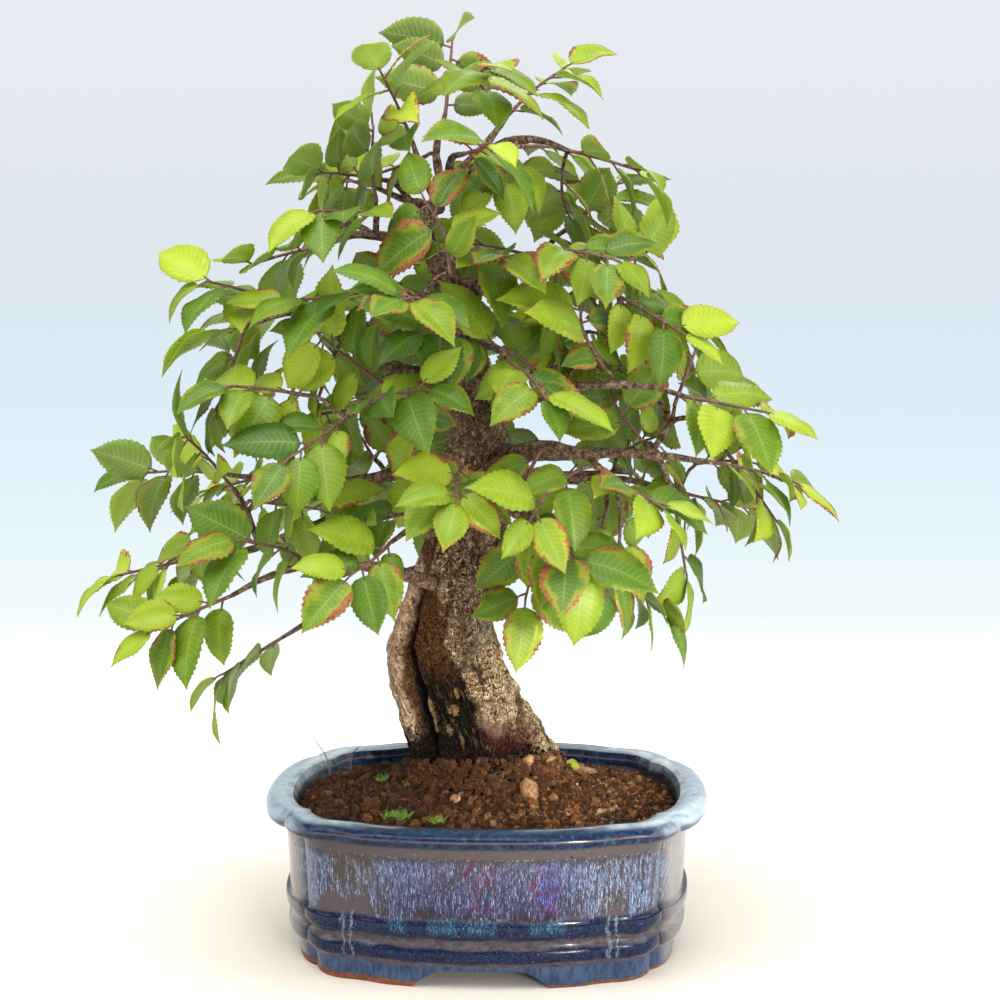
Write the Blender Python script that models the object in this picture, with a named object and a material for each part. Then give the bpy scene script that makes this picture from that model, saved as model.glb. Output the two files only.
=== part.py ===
"""Korean hornbeam bonsai standing in a lobed, glazed pot.

The pot is centred on the vertical axis while it is built, the table is at Z = 0 and the front is -Y.
Sizes are named in millimetres, and MM turns them into metres when a mesh is made. At the end the whole
object is moved sideways, so that the middle of its bounding box stands over the origin.
"""
import math
import random

import bmesh
import bpy
from mathutils import Matrix, Vector, noise
from mathutils.bvhtree import BVHTree

MM = 0.001
UP = Vector((0, 0, 1))
GAP = 0.3               # clearance left between two pieces that touch

# Pot: plan outline of the rim, one quadrant from the end to the middle of the long side
RIM_END = 105.5         # half length over the end lobes
RIM_FRONT = 89.0        # half depth over the long sides
RIM_NOTCH = (90.7, 54.0)      # sharp notch between end lobe and corner lobe
RIM_CREASE = (63.0, 76.0)     # crease between corner lobe and long side
CORNER_RADIUS = 22.5
END_STEPS, CORNER_STEPS, LONG_STEPS = 3, 3, 4    # steps per half lobe, per corner, per half side

# Pot: rings from the floor inside, over the lip and down to the foot, as (inset from the rim, height)
FLOOR_TOP = 14.5
POT_WALL_TOP = (14.5, 72.0)
POT_WALL_FOOT = (18.0, FLOOR_TOP)
FOOT_RING = (16.0, 25.0)      # insets of the outer and inner side of the foot ring
UNDERSIDE = 9.0
POT_RINGS = [
    POT_WALL_FOOT, POT_WALL_TOP, (13.0, 75.4), (7.0, 76.5), (1.6, 74.8), (0.0, 71.5), (2.2, 68.2),
    (8.8, 66.0), (11.2, 34.2), (9.4, 30.6), (9.6, 26.0), (12.4, 22.2), (10.6, 18.4),
    (11.0, 14.0), (14.4, 10.2), (FOOT_RING[0], 0.0), (FOOT_RING[1], 0.0), (FOOT_RING[1] + 1.0, UNDERSIDE),
]
ARCH_TOP = 8.4
LONG_ARCH = (41.0, 65.0)      # widths of the arch in each long side, at its top and at the table
END_ARCH = (30.0, 48.0)
DRAIN_X = 46.0
DRAIN_RADIUS = 10.0
DRAIN_SIDES = 16

# Drain mesh: a square of plastic net over each drain hole
NET_SIDE = 30.0
NET_THICKNESS = 1.2
NET_HOLE = 10.4
NET_PITCH = 13.2

# Soil
SOIL_RIM_HEIGHT = 66.5
SOIL_MOUND = 11.0
SOIL_MOUND_REACH = 62.0
SOIL_RINGS = 4
GRAIN_RELIEF = 1.5
GRAIN_SIZE = 6.0

# Trunk: the root plug fills a plain hole in the soil; sections give height, centre and half widths
ROOT_CENTRE = (-1.0, 15.0)
ROOT_HALF = (38.0, 25.0)
PLUG_FOOT = 60.0
PLUG_TOP = 81.0
TRUNK_SIDES = 16
TRUNK_SECTIONS = [
    (PLUG_TOP, -1.0, 15.0, 38.0, 25.0), (95.0, -6.0, 13.0, 34.0, 24.0), (104.0, -10.5, 12.0, 33.0, 24.0),
    (114.0, -14.5, 11.0, 31.0, 24.0), (124.0, -18.5, 10.0, 29.0, 23.0), (135.0, -22.0, 9.0, 27.0, 22.0),
    (148.0, -22.5, 8.0, 24.5, 21.0), (162.0, -20.0, 6.0, 21.5, 19.0), (178.0, -16.0, 5.0, 19.5, 18.0),
    (196.0, -10.5, 4.0, 18.0, 17.0), (214.0, -6.5, 2.0, 17.0, 16.0), (232.0, -4.0, 1.0, 17.0, 15.0),
    (248.0, -4.5, 0.0, 13.5, 12.5), (266.0, -7.0, 0.0, 10.5, 10.5), (288.0, -10.0, 0.0, 8.6, 8.6),
    (308.0, -15.5, 0.0, 7.4, 7.4), (328.0, -22.5, 0.0, 6.6, 6.6),
]
HOLLOW_ANGLE = math.radians(-128)
HOLLOW_WIDTH = math.radians(15)
HOLLOW_DEPTH = 0.27
HOLLOW_SPAN = (84.0, 152.0)

# Limbs: start radius, and the route from inside the trunk to the tip
LIMBS = {
    "leader": (5.2, [(-22, 0, 322), (-29, 0, 342), (-16, -2, 362), (0, 0, 380), (9, 2, 392)]),
    "lower_left_front": (4.0, [(-16, 6, 168), (-38, -30, 183), (-68, -58, 193), (-94, -70, 188),
                               (-110, -74, 180)]),
    "lower_left_mid": (4.2, [(-9, 4, 208), (-41, -14, 212), (-73, -22, 206), (-108, -22, 193),
                             (-139, -16, 187)]),
    "lower_left_back": (3.6, [(-12, 12, 181), (-42, 36, 172), (-74, 46, 156), (-104, 44, 138)]),
    "left_mid": (4.0, [(-6, 4, 234), (-35, 18, 226), (-70, 30, 218), (-104, 34, 218), (-135, 32, 222)]),
    "left_upper": (3.6, [(-7, 0, 274), (-33, -14, 275), (-57, -24, 285), (-76, -30, 299),
                         (-92, -34, 306)]),
    "left_upper_back": (3.2, [(-12, 4, 293), (-38, 34, 292), (-66, 52, 294), (-90, 56, 297)]),
    "left_top": (3.4, [(-26, 0, 337), (-44, -8, 337), (-60, -17, 338), (-75, -22, 333)]),
    "left_top_back": (2.8, [(-22, 2, 350), (-40, 30, 354), (-58, 46, 361)]),
    "top_left": (2.8, [(-22, -1, 352), (-29, -12, 366), (-33, -18, 380)]),
    "top_right": (2.8, [(-6, -1, 372), (9, -10, 380), (24, -17, 381), (38, -22, 376)]),
    "top_back": (2.8, [(-10, 0, 366), (4, 32, 378), (16, 52, 380)]),
    "top_middle": (2.6, [(-20, 0, 356), (-24, 8, 376), (-20, 12, 394)]),
    "front_top": (2.6, [(-18, -1, 358), (-15, -26, 372), (-8, -46, 374)]),
    "right_upper": (3.4, [(-14, 0, 305), (11, -22, 326), (30, -34, 328), (46, -40, 321),
                          (58, -43, 313)]),
    "right_upper_back": (3.0, [(-16, 2, 313), (13, 36, 321), (32, 52, 323), (50, 60, 318)]),
    "right_mid_front": (3.8, [(-6, -2, 251), (20, -36, 264), (46, -58, 272), (72, -68, 273),
                              (89, -72, 269)]),
    "right_mid_back": (3.4, [(-8, 4, 267), (23, 40, 271), (58, 60, 274), (84, 66, 272)]),
    "right_low": (4.4, [(-2, 0, 237), (27, -24, 238), (56, -34, 240), (82, -38, 239), (105, -38, 236)]),
    "right_low_back": (3.6, [(-2, 8, 226), (31, 40, 220), (64, 56, 217), (93, 60, 210)]),
    "right_lowest": (3.2, [(-4, -2, 212), (16, -20, 211), (36, -28, 202), (52, -31, 188)]),
    "front_low_right": (3.2, [(-3, -6, 214), (6, -42, 218), (18, -66, 214), (29, -82, 209)]),
    "front_low_left": (3.2, [(-9, -6, 200), (-16, -42, 210), (-27, -70, 212), (-38, -84, 206)]),
    "front_mid": (2.8, [(-4, -8, 235), (-8, -38, 246), (-8, -64, 244), (-8, -80, 238)]),
    "front_mid_left": (3.2, [(-6, -6, 255), (-28, -38, 268), (-46, -60, 266), (-60, -74, 258)]),
    "front_mid_right": (3.2, [(-2, -6, 228), (22, -42, 244), (42, -64, 244), (56, -78, 236)]),
    "front_upper": (3.0, [(-9, -4, 284), (-18, -36, 306), (-24, -58, 314), (-26, -68, 311)]),
    "front_upper_right": (3.0, [(-10, -4, 276), (0, -38, 288), (8, -60, 288), (14, -74, 283)]),
    "back_low_left": (3.6, [(-6, 10, 211), (-29, 56, 209), (-53, 86, 207), (-75, 104, 201)]),
    "back_low_right": (3.6, [(-3, 10, 216), (16, 56, 214), (35, 86, 212), (54, 104, 207)]),
    "back_mid": (3.2, [(-8, 6, 269), (-9, 48, 275), (-13, 78, 278), (-20, 96, 278)]),
}
LIMB_TIP_RADIUS = 1.4
THICK_LIMB = 3.7        # limbs from this radius up have five sides, thinner ones four
LIMB_SPACING = 33.0

# Crown: at each height its reach to the left, to the right, and to front and back of its axis
CROWN_AXIS_X = -10.0
CROWN_PROFILE = [
    (165.0, 160.0, 98.0, 92.0), (195.0, 164.0, 118.0, 108.0), (225.0, 158.0, 162.0, 116.0),
    (250.0, 140.0, 156.0, 114.0), (268.0, 122.0, 134.0, 110.0), (290.0, 146.0, 112.0, 106.0),
    (310.0, 146.0, 102.0, 102.0),
    (345.0, 106.0, 94.0, 94.0), (385.0, 74.0, 88.0, 76.0), (412.0, 52.0, 64.0, 48.0),
]
CROWN_VAULT = (198.0, 130.0)  # height of the crown's underside at its axis, and how far off it comes down
CROWN_LIFT = (0.25, 1.55)     # how far leaves at the crown's foot and at its top face upward
CROWN_LEVELS = 14
CROWN_BEARINGS = 24
SIDE_BRANCH_COUNT = 23
SIDE_BRANCH_RADII = (1.9, 1.4)
SIDE_BRANCH_RISE = 0.16       # share of its length that a side branch arches up by
SHOOT_ROOM = (2.5, 2.5)       # radii of the space kept free of wood in front of a branch tip
SPRAY_MIDDLE = 20.0           # distance from a branch tip to the middle of its spray
SPRAY_INSET = 26.0            # distance from the middle of a spray to the crown's outline

# Leafy sprays: one shoot each, with three leaves on every straight stretch and one at its end
SHOOT_STEP = 18.0
SHOOT_STEPS = 2
SHOOT_ROLL = 0.8        # a shoot's two rows of leaves are turned about it by up to this
SHOOT_TURN = 0.45       # how much the shoot of a side branch turns along the crown's surface
LEAF_PLACES = (0.2, 0.5, 0.82)     # shares of a straight stretch
SHOOT_RADII = (1.1, 0.75)
SHOOT_SIDES = 3
CLEARANCE = 0.45
SHOOT_TRIES = 24
LEAF_TRIES = 24
LEAF_LENGTH = (24.0, 36.0)
LEAF_WIDTH_RATIO = (0.265, 0.315)
LEAF_RIB = 0.75         # half thickness at the middle of a blade, which thins to its cut edge
PETIOLE_ROOT = 0.45     # the petiole starts this far behind the shoot's middle
PETIOLE_LENGTH = 4.0
PETIOLE_HALF = 0.7
PETIOLE_RIB = 1.3       # where the petiole is thickest
# Outline of half a blade: share of its length from the base, share of its half width, edge wave
BLADE_EDGE = [(0.0, None, 0.0), (0.20, 0.88, 0.5), (0.44, 1.0, -0.4), (0.74, 0.58, 0.4)]
BLADE_RIB_PLACE = 0.42


def arc_centre(first, second, radius):
    """Centre of the arc through two points, on the side of the pot's axis."""
    a, b = Vector(first), Vector(second)
    chord = b - a
    inward = Vector((chord.y, -chord.x)).normalized()
    if inward.dot(a) > 0:
        inward.negate()
    return (a + b) / 2 + inward * math.sqrt(radius ** 2 - (chord.length / 2) ** 2)


def ray_to_ellipse(direction, centre, halves):
    """Distance from the pot's axis to the far side of an ellipse, with its half widths in X and Y."""
    ray = Vector((direction.x / halves[0], direction.y / halves[1]))
    middle = Vector((centre[0] / halves[0], centre[1] / halves[1]))
    along = ray.dot(middle)
    root = math.sqrt(along ** 2 - ray.length_squared * (middle.length_squared - 1))
    return (along + root) / ray.length_squared


def rim_point(angle):
    """Point of the rim's plan outline in the direction of angle, mirrored from one quadrant."""
    direction = Vector((abs(math.cos(angle)), abs(math.sin(angle))))
    folded = math.atan2(direction.y, direction.x)
    if folded < math.atan2(RIM_NOTCH[1], RIM_NOTCH[0]):
        reach = ray_to_ellipse(direction, (RIM_NOTCH[0], 0), (RIM_END - RIM_NOTCH[0], RIM_NOTCH[1]))
    elif folded < math.atan2(RIM_CREASE[1], RIM_CREASE[0]):
        corner = arc_centre(RIM_NOTCH, RIM_CREASE, CORNER_RADIUS)
        reach = ray_to_ellipse(direction, corner, (CORNER_RADIUS, CORNER_RADIUS))
    else:
        reach = ray_to_ellipse(direction, (0, RIM_CREASE[1]), (RIM_CREASE[0], RIM_FRONT - RIM_CREASE[1]))
    return Vector((math.cos(angle), math.sin(angle))) * reach


def rim_angles():
    """Angles round the pot, with a point on every notch and crease."""
    notch = math.atan2(RIM_NOTCH[1], RIM_NOTCH[0])
    crease = math.atan2(RIM_CREASE[1], RIM_CREASE[0])
    stops = [(0.0, notch, END_STEPS), (notch, crease, CORNER_STEPS), (crease, math.pi / 2, LONG_STEPS)]
    quadrant = [start + (end - start) * k / steps for start, end, steps in stops for k in range(steps)]
    mirrored = [math.pi - angle for angle in reversed(quadrant[1:])]
    half = quadrant + [math.pi / 2] + mirrored
    return half + [math.pi + angle for angle in half]


def pot_ring(inset, height):
    """The rim's outline drawn in by inset, at a height."""
    ring = []
    for angle in rim_angles():
        point = rim_point(angle)
        ring.append(Vector((point.x * (1 - inset / RIM_END), point.y * (1 - inset / RIM_FRONT), height)))
    return ring


def inner_wall_inset(height):
    foot_inset, foot_height = POT_WALL_FOOT
    top_inset, top_height = POT_WALL_TOP
    return foot_inset + (top_inset - foot_inset) * (height - foot_height) / (top_height - foot_height)


def ring_faces(ring_count, sides):
    """Quads between rings that follow each other, and a cap on the first and the last ring."""
    faces = [list(range(sides))]
    for ring in range(ring_count - 1):
        for k in range(sides):
            low, high = ring * sides, (ring + 1) * sides
            following = (k + 1) % sides
            faces.append([low + k, low + following, high + following, high + k])
    faces.append([(ring_count - 1) * sides + k for k in range(sides)])
    return faces


def material(name, colour, roughness, metallic=0.0):
    made = bpy.data.materials.get(name) or bpy.data.materials.new(name)
    made.use_nodes = True
    shader = made.node_tree.nodes["Principled BSDF"]
    shader.inputs["Base Color"].default_value = (*colour, 1.0)
    shader.inputs["Roughness"].default_value = roughness
    shader.inputs["Metallic"].default_value = metallic
    return made


def add_object(name, vertices, faces, surface=None, collection=None):
    """Make an object from points in millimetres, with its faces turned outward."""
    mesh = bpy.data.meshes.new(name)
    mesh.from_pydata([Vector(v) * MM for v in vertices], [], faces)
    work = bmesh.new()
    work.from_mesh(mesh)
    bmesh.ops.recalc_face_normals(work, faces=work.faces)
    work.to_mesh(mesh)
    work.free()
    made = bpy.data.objects.new(name, mesh)
    (collection or bpy.context.scene.collection).objects.link(made)
    if surface:
        mesh.materials.append(surface)
    return made


def ring_solid(name, rings, surface=None, collection=None):
    vertices = [point for ring in rings for point in ring]
    return add_object(name, vertices, ring_faces(len(rings), len(rings[0])), surface, collection)


def join_collection(target, tools, operation):
    """Apply one Boolean with all of a collection's objects, then remove them."""
    step = target.modifiers.new("join", "BOOLEAN")
    step.operand_type = "COLLECTION"
    step.collection = tools
    step.operation = operation
    step.solver = "EXACT"
    bpy.context.view_layer.update()
    evaluated = target.evaluated_get(bpy.context.evaluated_depsgraph_get())
    joined = bpy.data.meshes.new_from_object(evaluated)
    target.modifiers.clear()
    target.data = joined
    for tool in list(tools.objects):
        bpy.data.objects.remove(tool)
    bpy.data.collections.remove(tools)


def tool_collection(name):
    tools = bpy.data.collections.new(name)
    bpy.context.scene.collection.children.link(tools)
    return tools


def add_arch(name, widths, reach, turn, tools):
    """A prism through the foot ring, narrower at its top."""
    top, bottom = widths[0] / 2, widths[1] / 2
    below = -2.0
    section = [(-bottom, below), (bottom, below), (top, ARCH_TOP), (-top, ARCH_TOP)]
    rotation = Matrix.Rotation(turn, 3, "Z")
    rings = [[rotation @ Vector((x, end * reach, z)) for x, z in section] for end in (-1, 1)]
    return ring_solid(name, rings, collection=tools)


def circle(centre, radius, height, sides):
    return [Vector((centre[0] + radius * math.cos(math.tau * k / sides),
                    centre[1] + radius * math.sin(math.tau * k / sides), height)) for k in range(sides)]


def make_pot():
    glaze = material("blue_glaze", (0.045, 0.085, 0.19), 0.12)
    rings = [pot_ring(inset, height) for inset, height in POT_RINGS]
    pot = ring_solid("pot", rings, glaze)
    tools = tool_collection("pot_cuts")
    add_arch("arch_front_to_back", LONG_ARCH, RIM_FRONT + 5, 0.0, tools)
    add_arch("arch_end_to_end", END_ARCH, RIM_END + 5, math.pi / 2, tools)
    for side in (-1, 1):
        rings = [circle((side * DRAIN_X, 0), DRAIN_RADIUS, z, DRAIN_SIDES)
                 for z in (UNDERSIDE - 3, FLOOR_TOP + 3)]
        ring_solid("drain_hole", rings, collection=tools)
    join_collection(pot, tools, "DIFFERENCE")


def square(centre_x, centre_y, half, height):
    corners = ((-half, -half), (half, -half), (half, half), (-half, half))
    return [Vector((centre_x + x, centre_y + y, height)) for x, y in corners]


def make_drain_mesh(name, centre_x):
    plastic = material("black_plastic", (0.02, 0.02, 0.02), 0.6)
    low = FLOOR_TOP + GAP
    levels = (low, low + NET_THICKNESS)
    net = ring_solid(name, [square(centre_x, 0, NET_SIDE / 2, z) for z in levels], plastic)
    tools = tool_collection(name + "_cuts")
    for column in (-0.5, 0.5):
        for row in (-0.5, 0.5):
            centre = (centre_x + column * NET_PITCH, row * NET_PITCH)
            rings = [square(*centre, NET_HOLE / 2, z) for z in (levels[0] - 1, levels[1] + 1)]
            ring_solid("net_hole", rings, collection=tools)
    join_collection(net, tools, "DIFFERENCE")


def root_point(angle, grow, height):
    """Outline of the trunk where it enters the soil: an oval with a few root swellings."""
    swell = 1 + 0.06 * math.cos(3 * angle - 0.6) + 0.04 * math.cos(5 * angle + 1.1)
    x = ROOT_CENTRE[0] + (ROOT_HALF[0] * swell + grow) * math.cos(angle)
    y = ROOT_CENTRE[1] + (ROOT_HALF[1] * swell + grow) * math.sin(angle)
    return Vector((x, y, height))


def with_midpoints(ring):
    """The same outline with a point halfway along each side."""
    return [point for k, a in enumerate(ring) for point in (a, a.lerp(ring[(k + 1) % len(ring)], 0.5))]


def soil_height(x, y):
    """Mound towards the trunk, with each grain raised or sunk by a noise cell."""
    distance = math.hypot(x - ROOT_CENTRE[0], (y - ROOT_CENTRE[1]) * RIM_END / RIM_FRONT)
    mound = SOIL_MOUND * math.exp(-(distance / SOIL_MOUND_REACH) ** 2)
    grain = noise.cell(Vector((x / GRAIN_SIZE, y / GRAIN_SIZE, 0.5)))
    return SOIL_RIM_HEIGHT + mound + GRAIN_RELIEF * (grain - 0.5)


def make_soil():
    earth = material("akadama_soil", (0.11, 0.055, 0.03), 0.95)
    bottom = FLOOR_TOP + NET_THICKNESS + 2 * GAP
    side_gap = GAP + 0.1
    rings = [with_midpoints(pot_ring(inner_wall_inset(bottom) + side_gap, bottom))]
    edge = with_midpoints(pot_ring(inner_wall_inset(SOIL_RIM_HEIGHT) + side_gap, SOIL_RIM_HEIGHT))
    hole = [root_point(math.atan2(p.y, p.x), GAP + 0.2, 0) for p in edge]
    for step in range(SOIL_RINGS + 1):
        share = step / SOIL_RINGS
        ring = []
        for outer, inner in zip(edge, hole):
            x = outer.x + (inner.x - outer.x) * share
            y = outer.y + (inner.y - outer.y) * share
            ring.append(Vector((x, y, soil_height(x, y))))
        rings.append(ring)
    rings.append([Vector((p.x, p.y, PLUG_FOOT - GAP)) for p in hole])
    ring_solid("soil", rings, earth)


def hollow_depth(angle, height):
    """Share of the radius taken away where the old trunk has rotted out."""
    low, high = HOLLOW_SPAN
    if not low < height < high:
        return 0.0
    along = math.sin(math.pi * (height - low) / (high - low)) ** 0.5
    away = (angle - HOLLOW_ANGLE + math.pi) % math.tau - math.pi
    return HOLLOW_DEPTH * along * math.exp(-(away / HOLLOW_WIDTH) ** 2)


def trunk_ring(section):
    height, x, y, half_x, half_y = section
    flare = 0.35 + 0.65 * max(0.0, 1 - (height - PLUG_TOP) / 110)
    ring = []
    for k in range(TRUNK_SIDES):
        angle = math.tau * k / TRUNK_SIDES
        swell = 1 + flare * (0.06 * math.cos(3 * angle - 0.6) + 0.04 * math.cos(5 * angle + 1.1))
        swell -= hollow_depth(angle, height)
        ring.append(Vector((x + half_x * swell * math.cos(angle),
                            y + half_y * swell * math.sin(angle), height)))
    return ring


def trunk_rings():
    return [trunk_ring((PLUG_FOOT, *TRUNK_SECTIONS[0][1:]))] + [trunk_ring(s) for s in TRUNK_SECTIONS]


def smooth_route(points, spacing):
    """Points at even spacing along a Catmull-Rom curve through the route."""
    stops = [Vector(p) for p in points]
    stops = [2 * stops[0] - stops[1]] + stops + [2 * stops[-1] - stops[-2]]
    fine = []
    for k in range(1, len(stops) - 2):
        a, b, c, d = stops[k - 1:k + 3]
        for j in range(12):
            t = j / 12
            fine.append(0.5 * (2 * b + (c - a) * t + (2 * a - 5 * b + 4 * c - d) * t ** 2
                               + (3 * b - a - 3 * c + d) * t ** 3))
    fine.append(stops[-2])
    lengths = [0.0]
    for a, b in zip(fine, fine[1:]):
        lengths.append(lengths[-1] + (b - a).length)
    count = max(2, round(lengths[-1] / spacing))
    even, k = [], 0
    for j in range(count + 1):
        target = lengths[-1] * j / count
        while k < len(lengths) - 2 and lengths[k + 1] < target:
            k += 1
        share = (target - lengths[k]) / (lengths[k + 1] - lengths[k])
        even.append(fine[k].lerp(fine[k + 1], share))
    return even


def tube(points, radii, sides):
    """Rings of a tube that thins evenly from the first radius to the last."""
    tangents = []
    for k in range(len(points)):
        tangents.append((points[min(k + 1, len(points) - 1)] - points[max(k - 1, 0)]).normalized())
    side = tangents[0].cross(UP if abs(tangents[0].z) < 0.9 else Vector((1, 0, 0))).normalized()
    rings = []
    for k, (point, tangent) in enumerate(zip(points, tangents)):
        side = (side - tangent * side.dot(tangent)).normalized()
        across = tangent.cross(side)
        radius = radii[0] + (radii[1] - radii[0]) * k / (len(points) - 1)
        turns = [math.tau * (j + 0.5) / sides for j in range(sides)]
        rings.append([point + radius * (side * math.cos(a) + across * math.sin(a)) for a in turns])
    return rings


def bounds_of(vertices):
    low = [min(v[axis] for v in vertices) for axis in range(3)]
    high = [max(v[axis] for v in vertices) for axis in range(3)]
    return low, high


def solid_item(vertices, faces):
    """A solid as the clearance tests see it: its box and its faces."""
    return (*bounds_of(vertices), BVHTree.FromPolygons(vertices, faces))


def tube_item(rings):
    vertices = [point for ring in rings for point in ring]
    return solid_item(vertices, ring_faces(len(rings), len(rings[0])))


def is_clear(item, others):
    low, high, tree = item
    for other_low, other_high, other_tree in others:
        apart = any(low[a] > other_high[a] or high[a] < other_low[a] for a in range(3))
        if not apart and tree.overlap(other_tree):
            return False
    return True


def outward_from_crown(point):
    flat = Vector((point.x - CROWN_AXIS_X, point.y, 0))
    return flat.normalized() if flat.length > 1 else Vector((0, -1, 0))


def crown_points():
    """Points spread over the whole crown, as far inside its outline as the middle of a spray."""
    low, high = CROWN_PROFILE[0][0], CROWN_PROFILE[-1][0]
    points = []
    for level in range(CROWN_LEVELS):
        height = low + (high - low) * level / (CROWN_LEVELS - 1)
        k = max(j for j in range(len(CROWN_PROFILE) - 1) if CROWN_PROFILE[j][0] <= height)
        share = (height - CROWN_PROFILE[k][0]) / (CROWN_PROFILE[k + 1][0] - CROWN_PROFILE[k][0])
        left, right, deep = (a + (b - a) * share - SPRAY_INSET
                             for a, b in zip(CROWN_PROFILE[k][1:], CROWN_PROFILE[k + 1][1:]))
        for step in range(CROWN_BEARINGS):
            bearing = math.tau * (step + 0.5 * (level % 2)) / CROWN_BEARINGS
            reach = (right if math.cos(bearing) > 0 else left) * math.cos(bearing)
            vault = CROWN_VAULT[0] - (CROWN_VAULT[0] - low) * min(1.0, abs(reach) / CROWN_VAULT[1])
            if height >= vault:
                points.append(Vector((CROWN_AXIS_X + reach, deep * math.sin(bearing), height)))
    return points


def spray_middle(route):
    return route[-1] + (route[-1] - route[-2]).normalized() * SPRAY_MIDDLE


def side_branch(target, curves):
    """A branch from the nearest limb that arches up and ends where its spray reaches the target."""
    base = min((point for curve in curves for point in curve[1:-1]), key=lambda p: (p - target).length)
    span = target - base
    length = max(span.length - SPRAY_MIDDLE, 12.0)
    end = base + span.normalized() * length
    return [base, (base + end) / 2 + UP * SIDE_BRANCH_RISE * length, end]


def plan_wood():
    """Routes of all limbs and side branches; each of them carries a spray on its tip.

    Each side branch goes to the place in the crown that is furthest from all sprays so far, unless
    other wood stands where its shoot would start.
    """
    curves = [smooth_route(route, LIMB_SPACING) for _, route in LIMBS.values()]
    tubes = [tube(curve, (radius, LIMB_TIP_RADIUS), 5 if radius >= THICK_LIMB else 4)
             for curve, (radius, _) in zip(curves, LIMBS.values())]
    routes = list(curves)
    places = crown_points()
    while len(routes) < len(LIMBS) + SIDE_BRANCH_COUNT:
        middles = [spray_middle(route) for route in routes]
        target = max(places, key=lambda p: min((p - m).length for m in middles))
        places.remove(target)
        route = side_branch(target, curves)
        heading = (route[-1] - route[-2]).normalized()
        start = [route[-1] + heading * reach for reach in (GAP, SHOOT_STEP)]
        if is_clear(tube_item(tube(start, SHOOT_ROOM, 4)), [tube_item(rings) for rings in tubes]):
            routes.append(route)
            tubes.append(tube(route, SIDE_BRANCH_RADII, 4))
    tips = [(route[-1], (route[-1] - route[-2]).normalized()) for route in routes]
    return tubes, tips


def make_wood(tubes):
    bark = material("hornbeam_bark", (0.19, 0.13, 0.085), 0.85)
    wood = ring_solid("wood", trunk_rings(), bark)
    tools = tool_collection("limbs")
    for rings in tubes:
        ring_solid("limb", rings, collection=tools)
    join_collection(wood, tools, "UNION")
    wood.data.materials.clear()
    wood.data.materials.append(bark)


def crown_normal(point):
    """Direction that faces out of the crown, more upward the higher the point is."""
    foot, top = CROWN_PROFILE[0][0], CROWN_PROFILE[-1][0]
    share = max(0.0, (point.z - foot) / (top - foot))
    lift = CROWN_LIFT[0] + (CROWN_LIFT[1] - CROWN_LIFT[0]) * share
    return (outward_from_crown(point) + UP * lift).normalized()


def grow_shoot(start, direction, steps, turn, draw):
    """A shoot that zigzags a little, bends outward or along the crown's surface, and sags."""
    points, heading = [start], direction.copy()
    hand = draw.choice((-1, 1))
    for k in range(steps):
        aside = heading.cross(UP)
        along_surface = UP.cross(outward_from_crown(points[-1]))
        hand = -hand
        heading = heading + aside * 0.16 * hand + outward_from_crown(points[-1]) * 0.08 - UP * 0.07
        heading += along_surface * turn + Vector([draw.uniform(-0.07, 0.07) for _ in range(3)])
        heading.normalize()
        points.append(points[-1] + heading * SHOOT_STEP)
    return points


def grow_leaf(base, along, hand, roll, size, draw):
    """Frame, size and bends of one leaf; hand is the side it leaves to, or 0 at the shoot's end."""
    normal = crown_normal(base)
    level = (normal - along * normal.dot(along)).normalized()
    aside = along.cross(level)
    aside, level = (aside * math.cos(roll) + level * math.sin(roll),
                    level * math.cos(roll) - aside * math.sin(roll))
    direction = along * (0.5 if hand else 0.9) + aside * 0.8 * hand
    direction += outward_from_crown(base) * 0.15 - UP * draw.uniform(-0.1, 0.5)
    direction += Vector([draw.uniform(-0.25, 0.25) for _ in range(3)])
    direction.normalize()
    facing = level * 0.6 + normal + Vector([draw.uniform(-0.4, 0.4) for _ in range(3)])
    facing = (facing - direction * facing.dot(direction)).normalized()
    length = draw.uniform(*LEAF_LENGTH) * size
    return {
        "base": base, "direction": direction, "facing": facing, "length": length,
        "half_width": length * draw.uniform(*LEAF_WIDTH_RATIO), "droop": draw.uniform(0.35, 1.0),
        "fold": draw.uniform(0.10, 0.30), "wave": draw.uniform(0.03, 0.06) * length,
        "hand": draw.choice((-1, 1)),
    }


def leaf_point(leaf, reach, aside, lift):
    """Point at a distance from the base along the bent midrib, aside from it and above it."""
    forward, facing = leaf["direction"], leaf["facing"]
    blade = max(0.0, reach - PETIOLE_LENGTH)
    bend = leaf["droop"] * blade / leaf["length"]
    point = leaf["base"] + forward * min(reach, PETIOLE_LENGTH)
    if bend > 1e-6:
        curve_radius = blade / bend
        point = point + forward * curve_radius * math.sin(bend)
        point -= facing * curve_radius * (1 - math.cos(bend))
    normal = facing * math.cos(bend) + forward * math.sin(bend)
    across = leaf["direction"].cross(leaf["facing"])
    return point + across * aside + normal * (lift + abs(aside) * leaf["fold"])


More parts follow.
